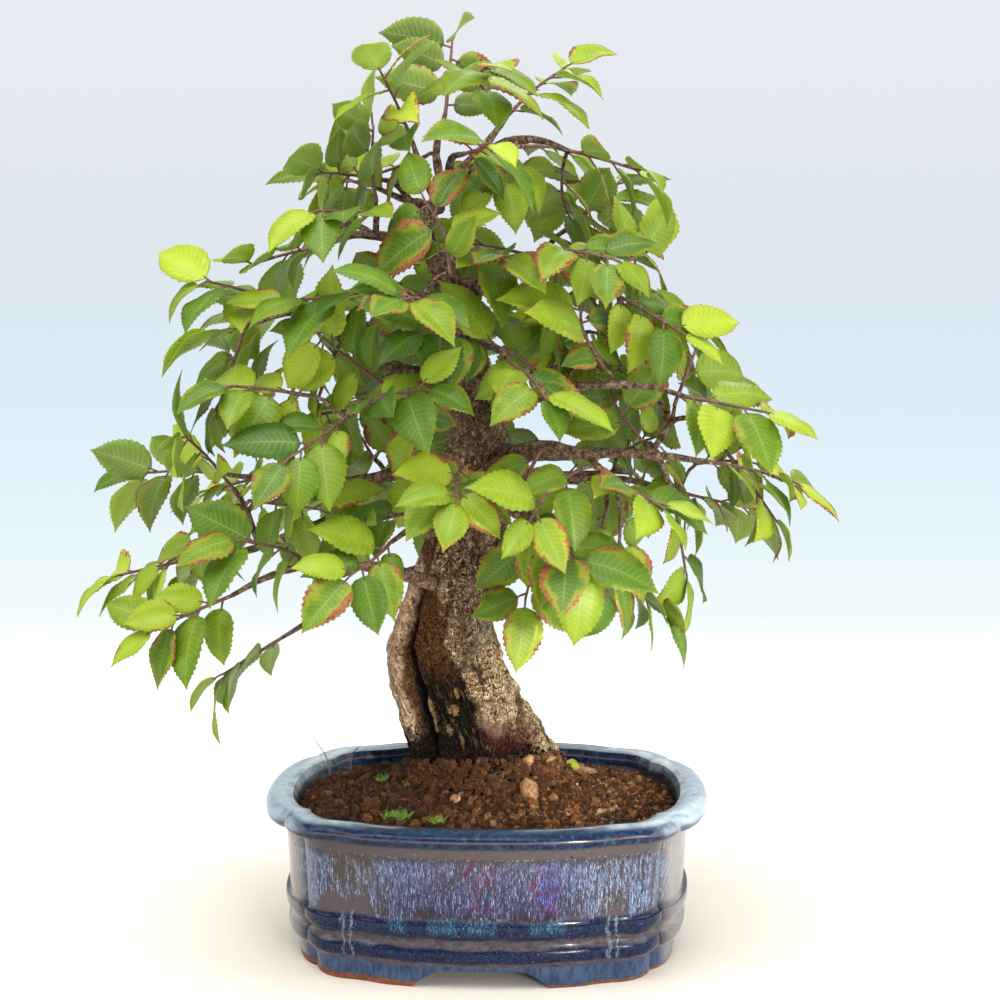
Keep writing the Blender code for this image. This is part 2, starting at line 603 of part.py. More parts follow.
def leaf_mesh(leaf, edge=0.0, rib=LEAF_RIB, grow=0.0):
    """A toothed blade with its petiole, thickest at the rib.

    With edge and grow above zero it is the space that the leaf needs, with walls round its edge.
    """
    sides = []
    for hand in (-1, 1):
        outline = []
        for share, width, wave in BLADE_EDGE:
            aside = PETIOLE_HALF if width is None else width * leaf["half_width"]
            lift = wave * leaf["wave"] * hand * leaf["hand"]
            outline.append((PETIOLE_LENGTH + share * leaf["length"], (aside + grow) * hand, lift))
        sides.append(outline)
    root = [(-PETIOLE_ROOT, 0.0, 0.0)]
    tip = [(PETIOLE_LENGTH + leaf["length"] + grow, 0.0, 0.0)]
    outline = root + sides[0] + tip + sides[1][::-1]
    ribs = [(PETIOLE_RIB, 0.0, 0.0), (PETIOLE_LENGTH + BLADE_RIB_PLACE * leaf["length"], 0.0, 0.0)]
    count = len(outline)
    petiole, blade = count, count + 1
    fans = [[k, k + 1, blade] for k in range(1, count - 1)]
    fans += [[0, 1, petiole], [1, blade, petiole], [count - 1, 0, petiole], [count - 1, petiole, blade]]
    top = [leaf_point(leaf, r, a, h + edge) for r, a, h in outline]
    top += [leaf_point(leaf, r, a, h + rib) for r, a, h in ribs]
    if edge == 0.0:
        reach, aside, lift = ribs[1]
        below = len(top)
        lower = [[k + 1, k, below] for k in range(1, count - 1)]
        lower += [[0, count - 1, 1], [1, count - 1, below]]
        return top + [leaf_point(leaf, reach, aside, lift - rib)], fans + lower
    under = [leaf_point(leaf, r, a, h - edge) for r, a, h in outline]
    under += [leaf_point(leaf, r, a, h - rib) for r, a, h in ribs]
    shift = len(top)
    walls = [[k, (k + 1) % count, (k + 1) % count + shift, k + shift] for k in range(count)]
    lower = [[v + shift for v in reversed(fan)] for fan in fans]
    return top + under, fans + lower + walls


def plan_spray(tip, direction, number, placed):
    """Find a shoot and leaves that keep clear of all that stands there already."""
    turn = SHOOT_TURN * (1 if number % 2 else -1) if number >= len(LIMBS) else 0.0
    for attempt in range(SHOOT_TRIES):
        draw = random.Random(1000 * number + attempt)
        steps = SHOOT_STEPS if attempt < SHOOT_TRIES * 2 / 3 else SHOOT_STEPS - 1
        heading = direction + Vector([draw.uniform(-0.05, 0.05) * attempt for _ in range(3)])
        points = grow_shoot(tip, heading.normalized(), steps, turn, draw)
        lean = SHOOT_RADII[0] * (points[1] - points[0]).normalized().cross(direction).length
        points = [point + direction * (GAP + lean) for point in points]
        guard = [points[0].lerp(points[1], 0.25)] + points[1:]
        wide = [radius + CLEARANCE for radius in SHOOT_RADII]
        rings = tube(points, SHOOT_RADII, SHOOT_SIDES)
        if is_clear(tube_item(rings), placed) and is_clear(tube_item(tube(guard, wide, SHOOT_SIDES)), placed):
            break
    else:
        return None
    seats = [(a.lerp(b, share), (b - a).normalized()) for a, b in zip(points, points[1:])
             for share in LEAF_PLACES]
    end_along = (points[-1] - points[-2]).normalized()
    seats.append((points[-1] - end_along, end_along))
    leaves, own = [], []
    hand, roll = draw.choice((-1, 1)), draw.uniform(-SHOOT_ROLL, SHOOT_ROLL)
    for k, (base, along) in enumerate(seats):
        last = k == len(seats) - 1
        hand = -hand
        size = (0.75, 0.9)[k] if k < 2 else (0.85 if last else 1.0)
        for attempt in range(LEAF_TRIES):
            leaf = grow_leaf(base, along, 0 if last else hand, roll, size * (1 - 0.012 * attempt), draw)
            space = solid_item(*leaf_mesh(leaf, CLEARANCE, LEAF_RIB + CLEARANCE, CLEARANCE))
            if is_clear(space, placed + own):
                leaves.append(leaf)
                own.append(solid_item(*leaf_mesh(leaf)))
                break
    placed.append(tube_item(rings))
    placed.extend(own)
    return rings, leaves


def make_spray(name, rings, leaves):
    green = material("hornbeam_leaf", (0.13, 0.27, 0.035), 0.5)
    spray = ring_solid(name, rings, green)
    tools = tool_collection(name + "_leaves")
    for leaf in leaves:
        add_object("leaf", *leaf_mesh(leaf), collection=tools)
    join_collection(spray, tools, "UNION")
    spray.data.materials.clear()
    spray.data.materials.append(green)


def centre_on_origin():
    """Move everything sideways until the middle of the whole box is over the origin."""
    solids = [thing for thing in bpy.context.scene.objects if thing.type == "MESH"]
    low, high = bounds_of([v.co for solid in solids for v in solid.data.vertices])
    shift = Matrix.Translation((-(low[0] + high[0]) / 2, -(low[1] + high[1]) / 2, 0))
    for solid in solids:
        solid.data.transform(shift)


def main():
    for old in list(bpy.data.objects):
        bpy.data.objects.remove(old)
    make_pot()
    make_drain_mesh("drain_mesh_left", -DRAIN_X)
    make_drain_mesh("drain_mesh_right", DRAIN_X)
    make_soil()
    tubes, tips = plan_wood()
    make_wood(tubes)
    placed = [tube_item(trunk_rings())] + [tube_item(rings) for rings in tubes]
    for number, (tip, direction) in enumerate(tips):
        planned = plan_spray(tip, direction, number, placed)
        if planned:
            make_spray(f"spray_{number:02d}", *planned)
    centre_on_origin()


main()
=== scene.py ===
"""Looks of a Korean hornbeam bonsai in its glazed pot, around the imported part.

Lengths are in millimetres and measured from the middle of the pot at table level, as in the part's
source; placed() turns them into metres in the part's own frame. The limbs, shoots and leaves are
planned by the same rules and the same seeds as in the part, so each finer leaf stays where its plain
one is. Then further twigs and leaves fill the crown.
"""
import math
import random

import bmesh
import bpy
import numpy as np
from mathutils import Matrix, Vector, noise
from mathutils.bvhtree import BVHTree


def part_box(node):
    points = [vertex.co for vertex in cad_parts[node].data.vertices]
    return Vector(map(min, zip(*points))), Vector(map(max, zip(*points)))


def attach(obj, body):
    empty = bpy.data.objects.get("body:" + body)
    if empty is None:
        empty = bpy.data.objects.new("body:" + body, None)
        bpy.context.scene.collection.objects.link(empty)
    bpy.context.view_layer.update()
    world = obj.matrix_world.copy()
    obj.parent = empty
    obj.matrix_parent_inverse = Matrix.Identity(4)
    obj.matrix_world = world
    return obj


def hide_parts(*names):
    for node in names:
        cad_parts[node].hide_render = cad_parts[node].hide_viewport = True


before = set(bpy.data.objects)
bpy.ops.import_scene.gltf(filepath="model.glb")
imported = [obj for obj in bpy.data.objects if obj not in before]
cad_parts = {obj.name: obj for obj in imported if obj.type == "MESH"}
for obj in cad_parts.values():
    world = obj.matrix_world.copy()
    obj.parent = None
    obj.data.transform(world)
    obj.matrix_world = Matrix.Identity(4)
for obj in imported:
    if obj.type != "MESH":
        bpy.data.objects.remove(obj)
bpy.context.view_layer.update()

MM = 0.001
UP = Vector((0, 0, 1))
GAP = 0.3               # clearance left between two pieces that touch

# Pot: plan outline of the rim, one quadrant from the end to the middle of the long side
RIM_END = 105.5         # half length over the end lobes
RIM_FRONT = 89.0        # half depth over the long sides
RIM_NOTCH = (90.7, 54.0)      # sharp notch between end lobe and corner lobe
RIM_CREASE = (63.0, 76.0)     # crease between corner lobe and long side
CORNER_RADIUS = 22.5

# Pot: rings from the floor inside, over the lip and down to the foot, as (inset from the rim, height)
FLOOR_TOP = 14.5
POT_WALL_TOP = (14.5, 72.0)
POT_WALL_FOOT = (18.0, FLOOR_TOP)
FOOT_RING = (16.0, 25.0)      # insets of the outer and inner side of the foot ring
UNDERSIDE = 9.0
POT_RINGS = [
    POT_WALL_FOOT, POT_WALL_TOP, (13.0, 75.4), (7.0, 76.5), (1.6, 74.8), (0.0, 71.5), (2.2, 68.2),
    (8.8, 66.0), (11.2, 34.2), (9.4, 30.6), (9.6, 26.0), (12.4, 22.2), (10.6, 18.4),
    (11.0, 14.0), (14.4, 10.2), (FOOT_RING[0], 0.0), (FOOT_RING[1], 0.0), (FOOT_RING[1] + 1.0, UNDERSIDE),
]
ARCH_TOP = 8.4
LONG_ARCH = (41.0, 65.0)      # widths of the arch in each long side, at its top and at the table
END_ARCH = (30.0, 48.0)
DRAIN_X = 46.0
DRAIN_RADIUS = 10.0
DRAIN_SIDES = 32

# Drain mesh: a square of plastic net over each drain hole
NET_SIDE = 30.0
NET_THICKNESS = 1.2
NET_THREAD = 1.2        # width of one thread
NET_THREADS = 7         # threads each way

# Soil
SOIL_RIM_HEIGHT = 66.5
SOIL_MOUND = 11.0
SOIL_MOUND_REACH = 62.0

# Trunk: the root plug fills a plain hole in the soil; sections give height, centre and half widths
ROOT_CENTRE = (-1.0, 15.0)
ROOT_HALF = (38.0, 25.0)
PLUG_FOOT = 60.0
PLUG_TOP = 81.0
TRUNK_SIDES = 16
TRUNK_SECTIONS = [
    (PLUG_TOP, -1.0, 15.0, 38.0, 25.0), (95.0, -6.0, 13.0, 34.0, 24.0), (104.0, -10.5, 12.0, 33.0, 24.0),
    (114.0, -14.5, 11.0, 31.0, 24.0), (124.0, -18.5, 10.0, 29.0, 23.0), (135.0, -22.0, 9.0, 27.0, 22.0),
    (148.0, -22.5, 8.0, 24.5, 21.0), (162.0, -20.0, 6.0, 21.5, 19.0), (178.0, -16.0, 5.0, 19.5, 18.0),
    (196.0, -10.5, 4.0, 18.0, 17.0), (214.0, -6.5, 2.0, 17.0, 16.0), (232.0, -4.0, 1.0, 17.0, 15.0),
    (248.0, -4.5, 0.0, 13.5, 12.5), (266.0, -7.0, 0.0, 10.5, 10.5), (288.0, -10.0, 0.0, 8.6, 8.6),
    (308.0, -15.5, 0.0, 7.4, 7.4), (328.0, -22.5, 0.0, 6.6, 6.6),
]
HOLLOW_ANGLE = math.radians(-128)
HOLLOW_WIDTH = math.radians(15)
HOLLOW_DEPTH = 0.27
HOLLOW_SPAN = (84.0, 152.0)

# Limbs: start radius, and the route from inside the trunk to the tip
LIMBS = {
    "leader": (5.2, [(-22, 0, 322), (-29, 0, 342), (-16, -2, 362), (0, 0, 380), (9, 2, 392)]),
    "lower_left_front": (4.0, [(-16, 6, 168), (-38, -30, 183), (-68, -58, 193), (-94, -70, 188),
                               (-110, -74, 180)]),
    "lower_left_mid": (4.2, [(-9, 4, 208), (-41, -14, 212), (-73, -22, 206), (-108, -22, 193),
                             (-139, -16, 187)]),
    "lower_left_back": (3.6, [(-12, 12, 181), (-42, 36, 172), (-74, 46, 156), (-104, 44, 138)]),
    "left_mid": (4.0, [(-6, 4, 234), (-35, 18, 226), (-70, 30, 218), (-104, 34, 218), (-135, 32, 222)]),
    "left_upper": (3.6, [(-7, 0, 274), (-33, -14, 275), (-57, -24, 285), (-76, -30, 299),
                         (-92, -34, 306)]),
    "left_upper_back": (3.2, [(-12, 4, 293), (-38, 34, 292), (-66, 52, 294), (-90, 56, 297)]),
    "left_top": (3.4, [(-26, 0, 337), (-44, -8, 337), (-60, -17, 338), (-75, -22, 333)]),
    "left_top_back": (2.8, [(-22, 2, 350), (-40, 30, 354), (-58, 46, 361)]),
    "top_left": (2.8, [(-22, -1, 352), (-29, -12, 366), (-33, -18, 380)]),
    "top_right": (2.8, [(-6, -1, 372), (9, -10, 380), (24, -17, 381), (38, -22, 376)]),
    "top_back": (2.8, [(-10, 0, 366), (4, 32, 378), (16, 52, 380)]),
    "top_middle": (2.6, [(-20, 0, 356), (-24, 8, 376), (-20, 12, 394)]),
    "front_top": (2.6, [(-18, -1, 358), (-15, -26, 372), (-8, -46, 374)]),
    "right_upper": (3.4, [(-14, 0, 305), (11, -22, 326), (30, -34, 328), (46, -40, 321),
                          (58, -43, 313)]),
    "right_upper_back": (3.0, [(-16, 2, 313), (13, 36, 321), (32, 52, 323), (50, 60, 318)]),
    "right_mid_front": (3.8, [(-6, -2, 251), (20, -36, 264), (46, -58, 272), (72, -68, 273),
                              (89, -72, 269)]),
    "right_mid_back": (3.4, [(-8, 4, 267), (23, 40, 271), (58, 60, 274), (84, 66, 272)]),
    "right_low": (4.4, [(-2, 0, 237), (27, -24, 238), (56, -34, 240), (82, -38, 239), (105, -38, 236)]),
    "right_low_back": (3.6, [(-2, 8, 226), (31, 40, 220), (64, 56, 217), (93, 60, 210)]),
    "right_lowest": (3.2, [(-4, -2, 212), (16, -20, 211), (36, -28, 202), (52, -31, 188)]),
    "front_low_right": (3.2, [(-3, -6, 214), (6, -42, 218), (18, -66, 214), (29, -82, 209)]),
    "front_low_left": (3.2, [(-9, -6, 200), (-16, -42, 210), (-27, -70, 212), (-38, -84, 206)]),
    "front_mid": (2.8, [(-4, -8, 235), (-8, -38, 246), (-8, -64, 244), (-8, -80, 238)]),
    "front_mid_left": (3.2, [(-6, -6, 255), (-28, -38, 268), (-46, -60, 266), (-60, -74, 258)]),
    "front_mid_right": (3.2, [(-2, -6, 228), (22, -42, 244), (42, -64, 244), (56, -78, 236)]),
    "front_upper": (3.0, [(-9, -4, 284), (-18, -36, 306), (-24, -58, 314), (-26, -68, 311)]),
    "front_upper_right": (3.0, [(-10, -4, 276), (0, -38, 288), (8, -60, 288), (14, -74, 283)]),
    "back_low_left": (3.6, [(-6, 10, 211), (-29, 56, 209), (-53, 86, 207), (-75, 104, 201)]),
    "back_low_right": (3.6, [(-3, 10, 216), (16, 56, 214), (35, 86, 212), (54, 104, 207)]),
    "back_mid": (3.2, [(-8, 6, 269), (-9, 48, 275), (-13, 78, 278), (-20, 96, 278)]),
}
LIMB_TIP_RADIUS = 1.4
THICK_LIMB = 3.7        # limbs from this radius up have five sides, thinner ones four
LIMB_SPACING = 33.0

# Crown: at each height its reach to the left, to the right, and to front and back of its axis
CROWN_AXIS_X = -10.0
CROWN_PROFILE = [
    (165.0, 160.0, 98.0, 92.0), (195.0, 164.0, 118.0, 108.0), (225.0, 158.0, 162.0, 116.0),
    (250.0, 140.0, 156.0, 114.0), (268.0, 122.0, 134.0, 110.0), (290.0, 146.0, 112.0, 106.0),
    (310.0, 146.0, 102.0, 102.0),
    (345.0, 106.0, 94.0, 94.0), (385.0, 74.0, 88.0, 76.0), (412.0, 52.0, 64.0, 48.0),
]
CROWN_VAULT = (198.0, 130.0)  # height of the crown's underside at its axis, and how far off it comes down
CROWN_LIFT = (0.25, 1.55)     # how far leaves at the crown's foot and at its top face upward
CROWN_LEVELS = 14
CROWN_BEARINGS = 24
SIDE_BRANCH_COUNT = 23
SIDE_BRANCH_RADII = (1.9, 1.4)
SIDE_BRANCH_LEAST = 12.0      # shortest side branch
SIDE_BRANCH_RISE = 0.16       # share of its length that a side branch arches up by
SHOOT_ROOM = (2.5, 2.5)       # radii of the space kept free of wood in front of a branch tip
SPRAY_MIDDLE = 20.0           # distance from a branch tip to the middle of its spray
SPRAY_INSET = 26.0            # distance from the middle of a spray to the crown's outline

# Leafy sprays: one shoot each, with three leaves on every straight stretch and one at its end
SHOOT_STEP = 18.0
SHOOT_STEPS = 2
SHOOT_ROLL = 0.8        # a shoot's two rows of leaves are turned about it by up to this
SHOOT_TURN = 0.45       # how much the shoot of a side branch turns along the crown's surface
LEAF_PLACES = (0.2, 0.5, 0.82)     # shares of a straight stretch
SHOOT_RADII = (1.1, 0.75)
SHOOT_SIDES = 3
CLEARANCE = 0.45
SHOOT_TRIES = 24
LEAF_TRIES = 24
LEAF_LENGTH = (24.0, 36.0)
LEAF_WIDTH_RATIO = (0.265, 0.315)
LEAF_RIB = 0.75         # half thickness at the middle of a blade, which thins to its cut edge
PETIOLE_ROOT = 0.45     # the petiole starts this far behind the shoot's middle
PETIOLE_LENGTH = 4.0
PETIOLE_HALF = 0.7
PETIOLE_RIB = 1.3       # where the petiole is thickest
# Outline of half a blade: share of its length from the base, share of its half width, edge wave
BLADE_EDGE = [(0.0, None, 0.0), (0.20, 0.88, 0.5), (0.44, 1.0, -0.4), (0.74, 0.58, 0.4)]
BLADE_RIB_PLACE = 0.42

# Camera, fitted to the photo
CAMERA_PLACE = (45.6, -1029.5, 350.32)
CAMERA_PITCH = 7.565
CAMERA_TURN = 2.2
CAMERA_LENS = 79.2
SENSOR_WIDTH = 36.0

# Fine meshes
POT_SIDES = 360
POT_STEP = 1.3
POT_CREASE = 38         # edges of the pot that bend by more degrees than this stay crisp
WALL_RISES = (0.0, 1.5, 12.0, 24.0, 36.0, 48.0, 56.0)     # heights of the inner wall's rings over the floor
BED_SIDES = 96
BED_STEPS = 14
BED_DEPTH = 1.6         # how far the dark bed lies below the mound that the granules make
TRUNK_FINE_SIDES = 132
TRUNK_FINE_STEP = 1.3
LIMB_STEP = 4.0
GRAIN_COUNT = 2500
GRAIN_TRIES = 130000
GRAIN_RADII = (1.05, 3.2)
GRAIN_HALVES = (92, 76)       # half sizes of the field that places are drawn from
GRAIN_LUMPS = 0.55
GRAIN_CHIPS = 6
GRAIN_CLOSENESS = 0.80  # least distance of two grains, as a share of their radii together
GRAIN_SINK = 1.4
FOOT_GRAINS = 820
FOOT_GRAIN_RADII = (1.0, 2.0)
FOOT_GRAIN_ANGLES = (-178, 2)
FOOT_GRAIN_PEAK = -65   # bearing at which they climb highest
FOOT_GRAIN_LEVEL = 76.0
FOOT_GRAIN_CLIMB = 15.0
ROUND_GRAIN = 1.4       # grains from this radius up get the finer sphere

# Twigs and leaves that fill the crown beyond the part's own sprays
EXTRA_SPRAYS = 56
CROWN_MIDDLE = Vector((8, 0, 275))
EXTRA_INSETS = (20.0, 52.0)
EXTRA_PIECES = 6
EXTRA_FIRST_NUMBER = 200
EXTRA_LEAST_LEAVES = 3
TWIG_RADII = (1.3, 0.9)
TWIG_LEAST = 8.0        # shortest twig
FINE_TIP = 1.1          # radii of tips, side branches, twigs and shoots in the fine model
FINE_BRANCH = (1.7, 1.1)
FINE_TWIG = (1.15, 0.8)
FINE_SHOOT = (0.95, 0.55)
FINE_PETIOLE = (0.62, 0.42)

# One fine blade: stations along it, strips across it, outline as (share of length, share of half width)
BLADE_STATIONS = 28
BLADE_STRIPS = (-1.0, -0.5, 0.0, 0.5, 1.0)
BLADE_OUTLINE = [
    (0.0, 0.05), (0.025, 0.34), (0.07, 0.60), (0.20, 0.90), (0.32, 0.99), (0.44, 1.0), (0.58, 0.87),
    (0.74, 0.57), (0.85, 0.28), (0.92, 0.11), (0.96, 0.05), (1.0, 0.0),
]
BLADE_THICKNESS = 0.32
VEIN_REACH = 0.17       # how far forward the side veins run, as a share of the blade's length
PLEAT = 0.21
TOOTH = 0.085           # tooth depth as a share of the half width

# Marks on the trunk: heights, then bearings from straight ahead, to the right, in radians
ROT_BEYOND = (14, 30)         # how far the rot reaches below and above the part's hollow
ROT_WIDTH = (0.98, 0.45)      # width to the right of the cleft, below and at its narrowest
ROT_NARROWS = (150, 0.02)     # height from which it narrows, and by how much for each millimetre
STRIP_SPAN = (88, 196)        # pale strip of bark on the left
STRIP_EDGES = (-2.1, -0.60)
FOOT_TOP = 106
FOOT_FADE = 13
WINE_SPAN = (92, 110)
WINE_EDGES = (0.15, 1.35)
YOUNG_BARK = 225              # height at which the old bark starts to give way to young bark
BRIGHT_ROT = (124.0, 150.0)
BROWN_ROT = (122.0, 146.0)

# Small things on the soil. Moss: place, spread and number of blades. Stones: place, height above the
# soil's even mound, size and stretch. Stalks: the route of each.
MOSS_TUFTS = [(-41, -38, 7.0, 130), (-21, -46, 3.4, 45), (-52, 17, 2.6, 26), (-38, 2, 2.4, 18),
              (-9, 62, 2.4, 20)]
STONES = [(20, -14, 0, 5.2, (0.8, 0.7, 1.1)), (20, -6, 12.5, 3.0, (1.1, 0.9, 0.7)),
          (28, 2, 11.5, 2.8, (1.5, 0.9, 0.6)), (47, 38, 0, 2.6, (1.5, 0.9, 0.6)),
          (-14, -22, 0, 2.6, (1.0, 0.8, 0.8))]
MOSS_LENGTH = (1.8, 4.6)
MOSS_RADII = (0.34, 0.08)
STALK_RADII = (0.42, 0.2)
FALLEN_LEAF = (37.5, 44.0)
FALLEN_LEAF_LENGTH = 9.0
STALKS = [[(-80, 40, 64), (-82, 38, 78), (-85, 34, 85), (-88, 30, 92)],
          [(-72, 52, 64), (-70, 44, 78), (-66, 36, 84), (-64, 30, 87)],
          [(73, 59, 74.5), (74, 57, 72.5), (76, 53, 68)], [(66, 68, 73), (68, 66, 71), (71, 62, 67)]]

# Levels in the glaze. Two numbers: where a change starts and ends. Four: where a stripe fades in and out.
UPPER_RIDGE = (23.8, 25.2, 31.6, 34.2)
LOWER_RIDGE = (12.2, 13.8, 19.2, 20.4)
APRON_TOP = (12.4, 9.0)
WALL_FOOT = (34.6, 32.2)
RUNS_TOP = (62.5, 58.0)
SEAM = (61.0, 61.5, 61.9, 62.4)
NECK_FOOT = (61.0, 63.0)
RIM_FOOT = (65.6, 66.8)
LIP_LINE = (71.7, 72.1, 72.6, 73.0)
BARE_CLAY = (0.75, 0.35)
# Distances from the pot's middle between which these fade in: the wall's middle with its painted shade and
# blushes, the end lobes and the rim's pale ends, both partly painted reflection, and, front to back, the
# streaks on the middle of each end
WALL_MIDDLE = (56.0, 30.0)
END_LOBES = (80.0, 88.0)
PALE_SHEEN_ENDS = (74.0, 100.0)
END_MIDDLE = (36.0, 18.0)

# Marks in the glaze: bare arcs (middle, half width, top), then places along the wall and their half widths
BARE_ARCS = [(-68.0, 7.0, 43.0), (-53.5, 5.5, 42.0)]
WINE_PLACES = [(0.0, 10.0), (29.0, 9.0)]
VIOLET_PLACES = [(30.5, 6.5)]
TEAL_PLACES = [(-37.5, 5.5), (-21.0, 4.0), (-13.5, 5.0), (-3.0, 7.0), (5.0, 4.0), (26.0, 5.0), (33.0, 6.5)]
STREAM_PLACES = [(-62.5, 1.0), (-58.5, 1.0), (57.5, 1.0), (61.5, 1.0)]

# Tan knots in the rotten wood: place across, height, half width, half height
KNOTS = [(-26.4, 112.0, 2.5, 9.5), (-15.4, 114.4, 2.7, 3.0), (-17.5, 104.5, 1.3, 3.0),
         (-14.0, 123.0, 1.2, 2.6), (-11.5, 99.0, 1.0, 3.4), (-24.0, 98.0, 1.2, 3.0)]
KNOT_LEAN = -0.22
WOOD_LEAN = -0.36             # the old wood's grain follows the trunk's lean

WORLD_STRENGTH = 0.42
LIGHTS = [
    ("overhead", (-150, -350, 1500), (0, 0, 250), 1300, 29.0, (1.0, 0.99, 0.97)),
    ("from_left", (-1300, -500, 900), (0, 0, 220), 1000, 11.0, (1.0, 1.0, 1.0)),
    ("from_right", (1300, -300, 700), (0, 0, 220), 900, 11.0, (0.97, 0.99, 1.0)),
    ("from_behind", (200, 1100, 1000), (0, 0, 250), 900, 7.0, (1.0, 1.0, 0.97)),
    ("low_front", (700, -1300, 420), (0, 0, 170), 700, 9.0, (1.0, 0.99, 0.97)),
]
TRUNK_LIGHT = ("on_trunk", (520, -1150, 330), (14, 0, 108), 150, 0.17, (1.0, 0.93, 0.82))
TRUNK_LIGHT_SPREAD = 10
# Backdrop: height on the sweep and the colour of the painted light that it glows with there
BACKDROP_GLOW = [(0, (0.88, 0.965, 0.98)), (8, (0.86, 0.95, 0.98)), (20, (0.82, 0.93, 0.96)),
                  (56, (0.78, 0.90, 0.96)), (100, (0.755, 0.875, 0.95)), (145, (0.72, 0.85, 0.94)),
                  (300, (0.74, 0.80, 0.86)), (540, (0.81, 0.83, 0.89))]
BACKDROP_HALF = 5000
FLOOR_REACH = (-3000, 900)    # in front of the pot and behind it, where the curve starts
CURVE_RADIUS = 700
CURVE_TURNS = (0.2, 0.4, 0.6, 0.8, 1.0, 1.2, 1.4, math.pi / 2)
WALL_TOP = 4000
FLOOR_END = (380.0, 880.0)    # over this stretch behind the pot the lit floor gives way to the backdrop, which glows with painted light
WARM_SHADED_FLOOR = (330.0, 150.0)   # distances from the pot's middle between which the floor turns warmer and darker, a warm tint with painted shadow

POT_MIDDLE = (Vector(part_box("pot")[0]) + Vector(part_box("pot")[1])) / 2
POT_SHIFT = Vector((POT_MIDDLE.x, POT_MIDDLE.y, 0.0))


def arc_centre(first, second, radius):
    """Centre of the arc through two points, on the side of the pot's axis."""
    a, b = Vector(first), Vector(second)
    chord = b - a
    inward = Vector((chord.y, -chord.x)).normalized()
    if inward.dot(a) > 0:
        inward.negate()
    return (a + b) / 2 + inward * math.sqrt(radius ** 2 - (chord.length / 2) ** 2)


def ray_to_ellipse(direction, centre, halves):
    """Distance from the pot's axis to the far side of an ellipse, with its half widths in X and Y."""
    ray = Vector((direction.x / halves[0], direction.y / halves[1]))
    middle = Vector((centre[0] / halves[0], centre[1] / halves[1]))
    along = ray.dot(middle)
    root = math.sqrt(along ** 2 - ray.length_squared * (middle.length_squared - 1))
    return (along + root) / ray.length_squared


def rim_point(angle):
    """Point of the rim's plan outline in the direction of angle, mirrored from one quadrant."""
    direction = Vector((abs(math.cos(angle)), abs(math.sin(angle))))
    folded = math.atan2(direction.y, direction.x)
    if folded < math.atan2(RIM_NOTCH[1], RIM_NOTCH[0]):
        reach = ray_to_ellipse(direction, (RIM_NOTCH[0], 0), (RIM_END - RIM_NOTCH[0], RIM_NOTCH[1]))
    elif folded < math.atan2(RIM_CREASE[1], RIM_CREASE[0]):
        corner = arc_centre(RIM_NOTCH, RIM_CREASE, CORNER_RADIUS)
        reach = ray_to_ellipse(direction, corner, (CORNER_RADIUS, CORNER_RADIUS))
    else:
        reach = ray_to_ellipse(direction, (0, RIM_CREASE[1]), (RIM_CREASE[0], RIM_FRONT - RIM_CREASE[1]))
    return Vector((math.cos(angle), math.sin(angle))) * reach


def inner_wall_inset(height):
    foot_inset, foot_height = POT_WALL_FOOT
    top_inset, top_height = POT_WALL_TOP
    return foot_inset + (top_inset - foot_inset) * (height - foot_height) / (top_height - foot_height)


def ring_faces(ring_count, sides):
    """Quads between rings that follow each other, and a cap on the first and the last ring."""
    faces = [list(range(sides))]
    for ring in range(ring_count - 1):
        for k in range(sides):
            low, high = ring * sides, (ring + 1) * sides
            following = (k + 1) % sides
            faces.append([low + k, low + following, high + following, high + k])
    faces.append([(ring_count - 1) * sides + k for k in range(sides)])
    return faces


def shell(rings):
    """Points and faces of the closed shell through rings that follow each other."""
    return [point for ring in rings for point in ring], ring_faces(len(rings), len(rings[0]))


def root_swell(angle):
    """How much further than an oval the trunk's foot reaches in a direction, as a share."""
    return 0.06 * math.cos(3 * angle - 0.6) + 0.04 * math.cos(5 * angle + 1.1)


def root_flare(height):
    """Share of the swellings that is left at a height."""
    return 0.35 + 0.65 * max(0.0, 1 - (height - PLUG_TOP) / 110)


def root_point(angle, grow, height):
    """Outline of the trunk where it enters the soil: an oval with a few root swellings."""
    swell = 1 + root_swell(angle)
    x = ROOT_CENTRE[0] + (ROOT_HALF[0] * swell + grow) * math.cos(angle)
    y = ROOT_CENTRE[1] + (ROOT_HALF[1] * swell + grow) * math.sin(angle)
    return Vector((x, y, height))


def hollow_depth(angle, height):
    """Share of the radius taken away where the old trunk has rotted out."""
    low, high = HOLLOW_SPAN
    if not low < height < high:
        return 0.0
    along = math.sin(math.pi * (height - low) / (high - low)) ** 0.5
    away = (angle - HOLLOW_ANGLE + math.pi) % math.tau - math.pi
    return HOLLOW_DEPTH * along * math.exp(-(away / HOLLOW_WIDTH) ** 2)


def trunk_ring(section):
    height, x, y, half_x, half_y = section
    ring = []
    for k in range(TRUNK_SIDES):
        angle = math.tau * k / TRUNK_SIDES
        swell = 1 + root_flare(height) * root_swell(angle) - hollow_depth(angle, height)
        ring.append(Vector((x + half_x * swell * math.cos(angle),
                            y + half_y * swell * math.sin(angle), height)))
    return ring


def trunk_rings():
    return [trunk_ring((PLUG_FOOT, *TRUNK_SECTIONS[0][1:]))] + [trunk_ring(s) for s in TRUNK_SECTIONS]


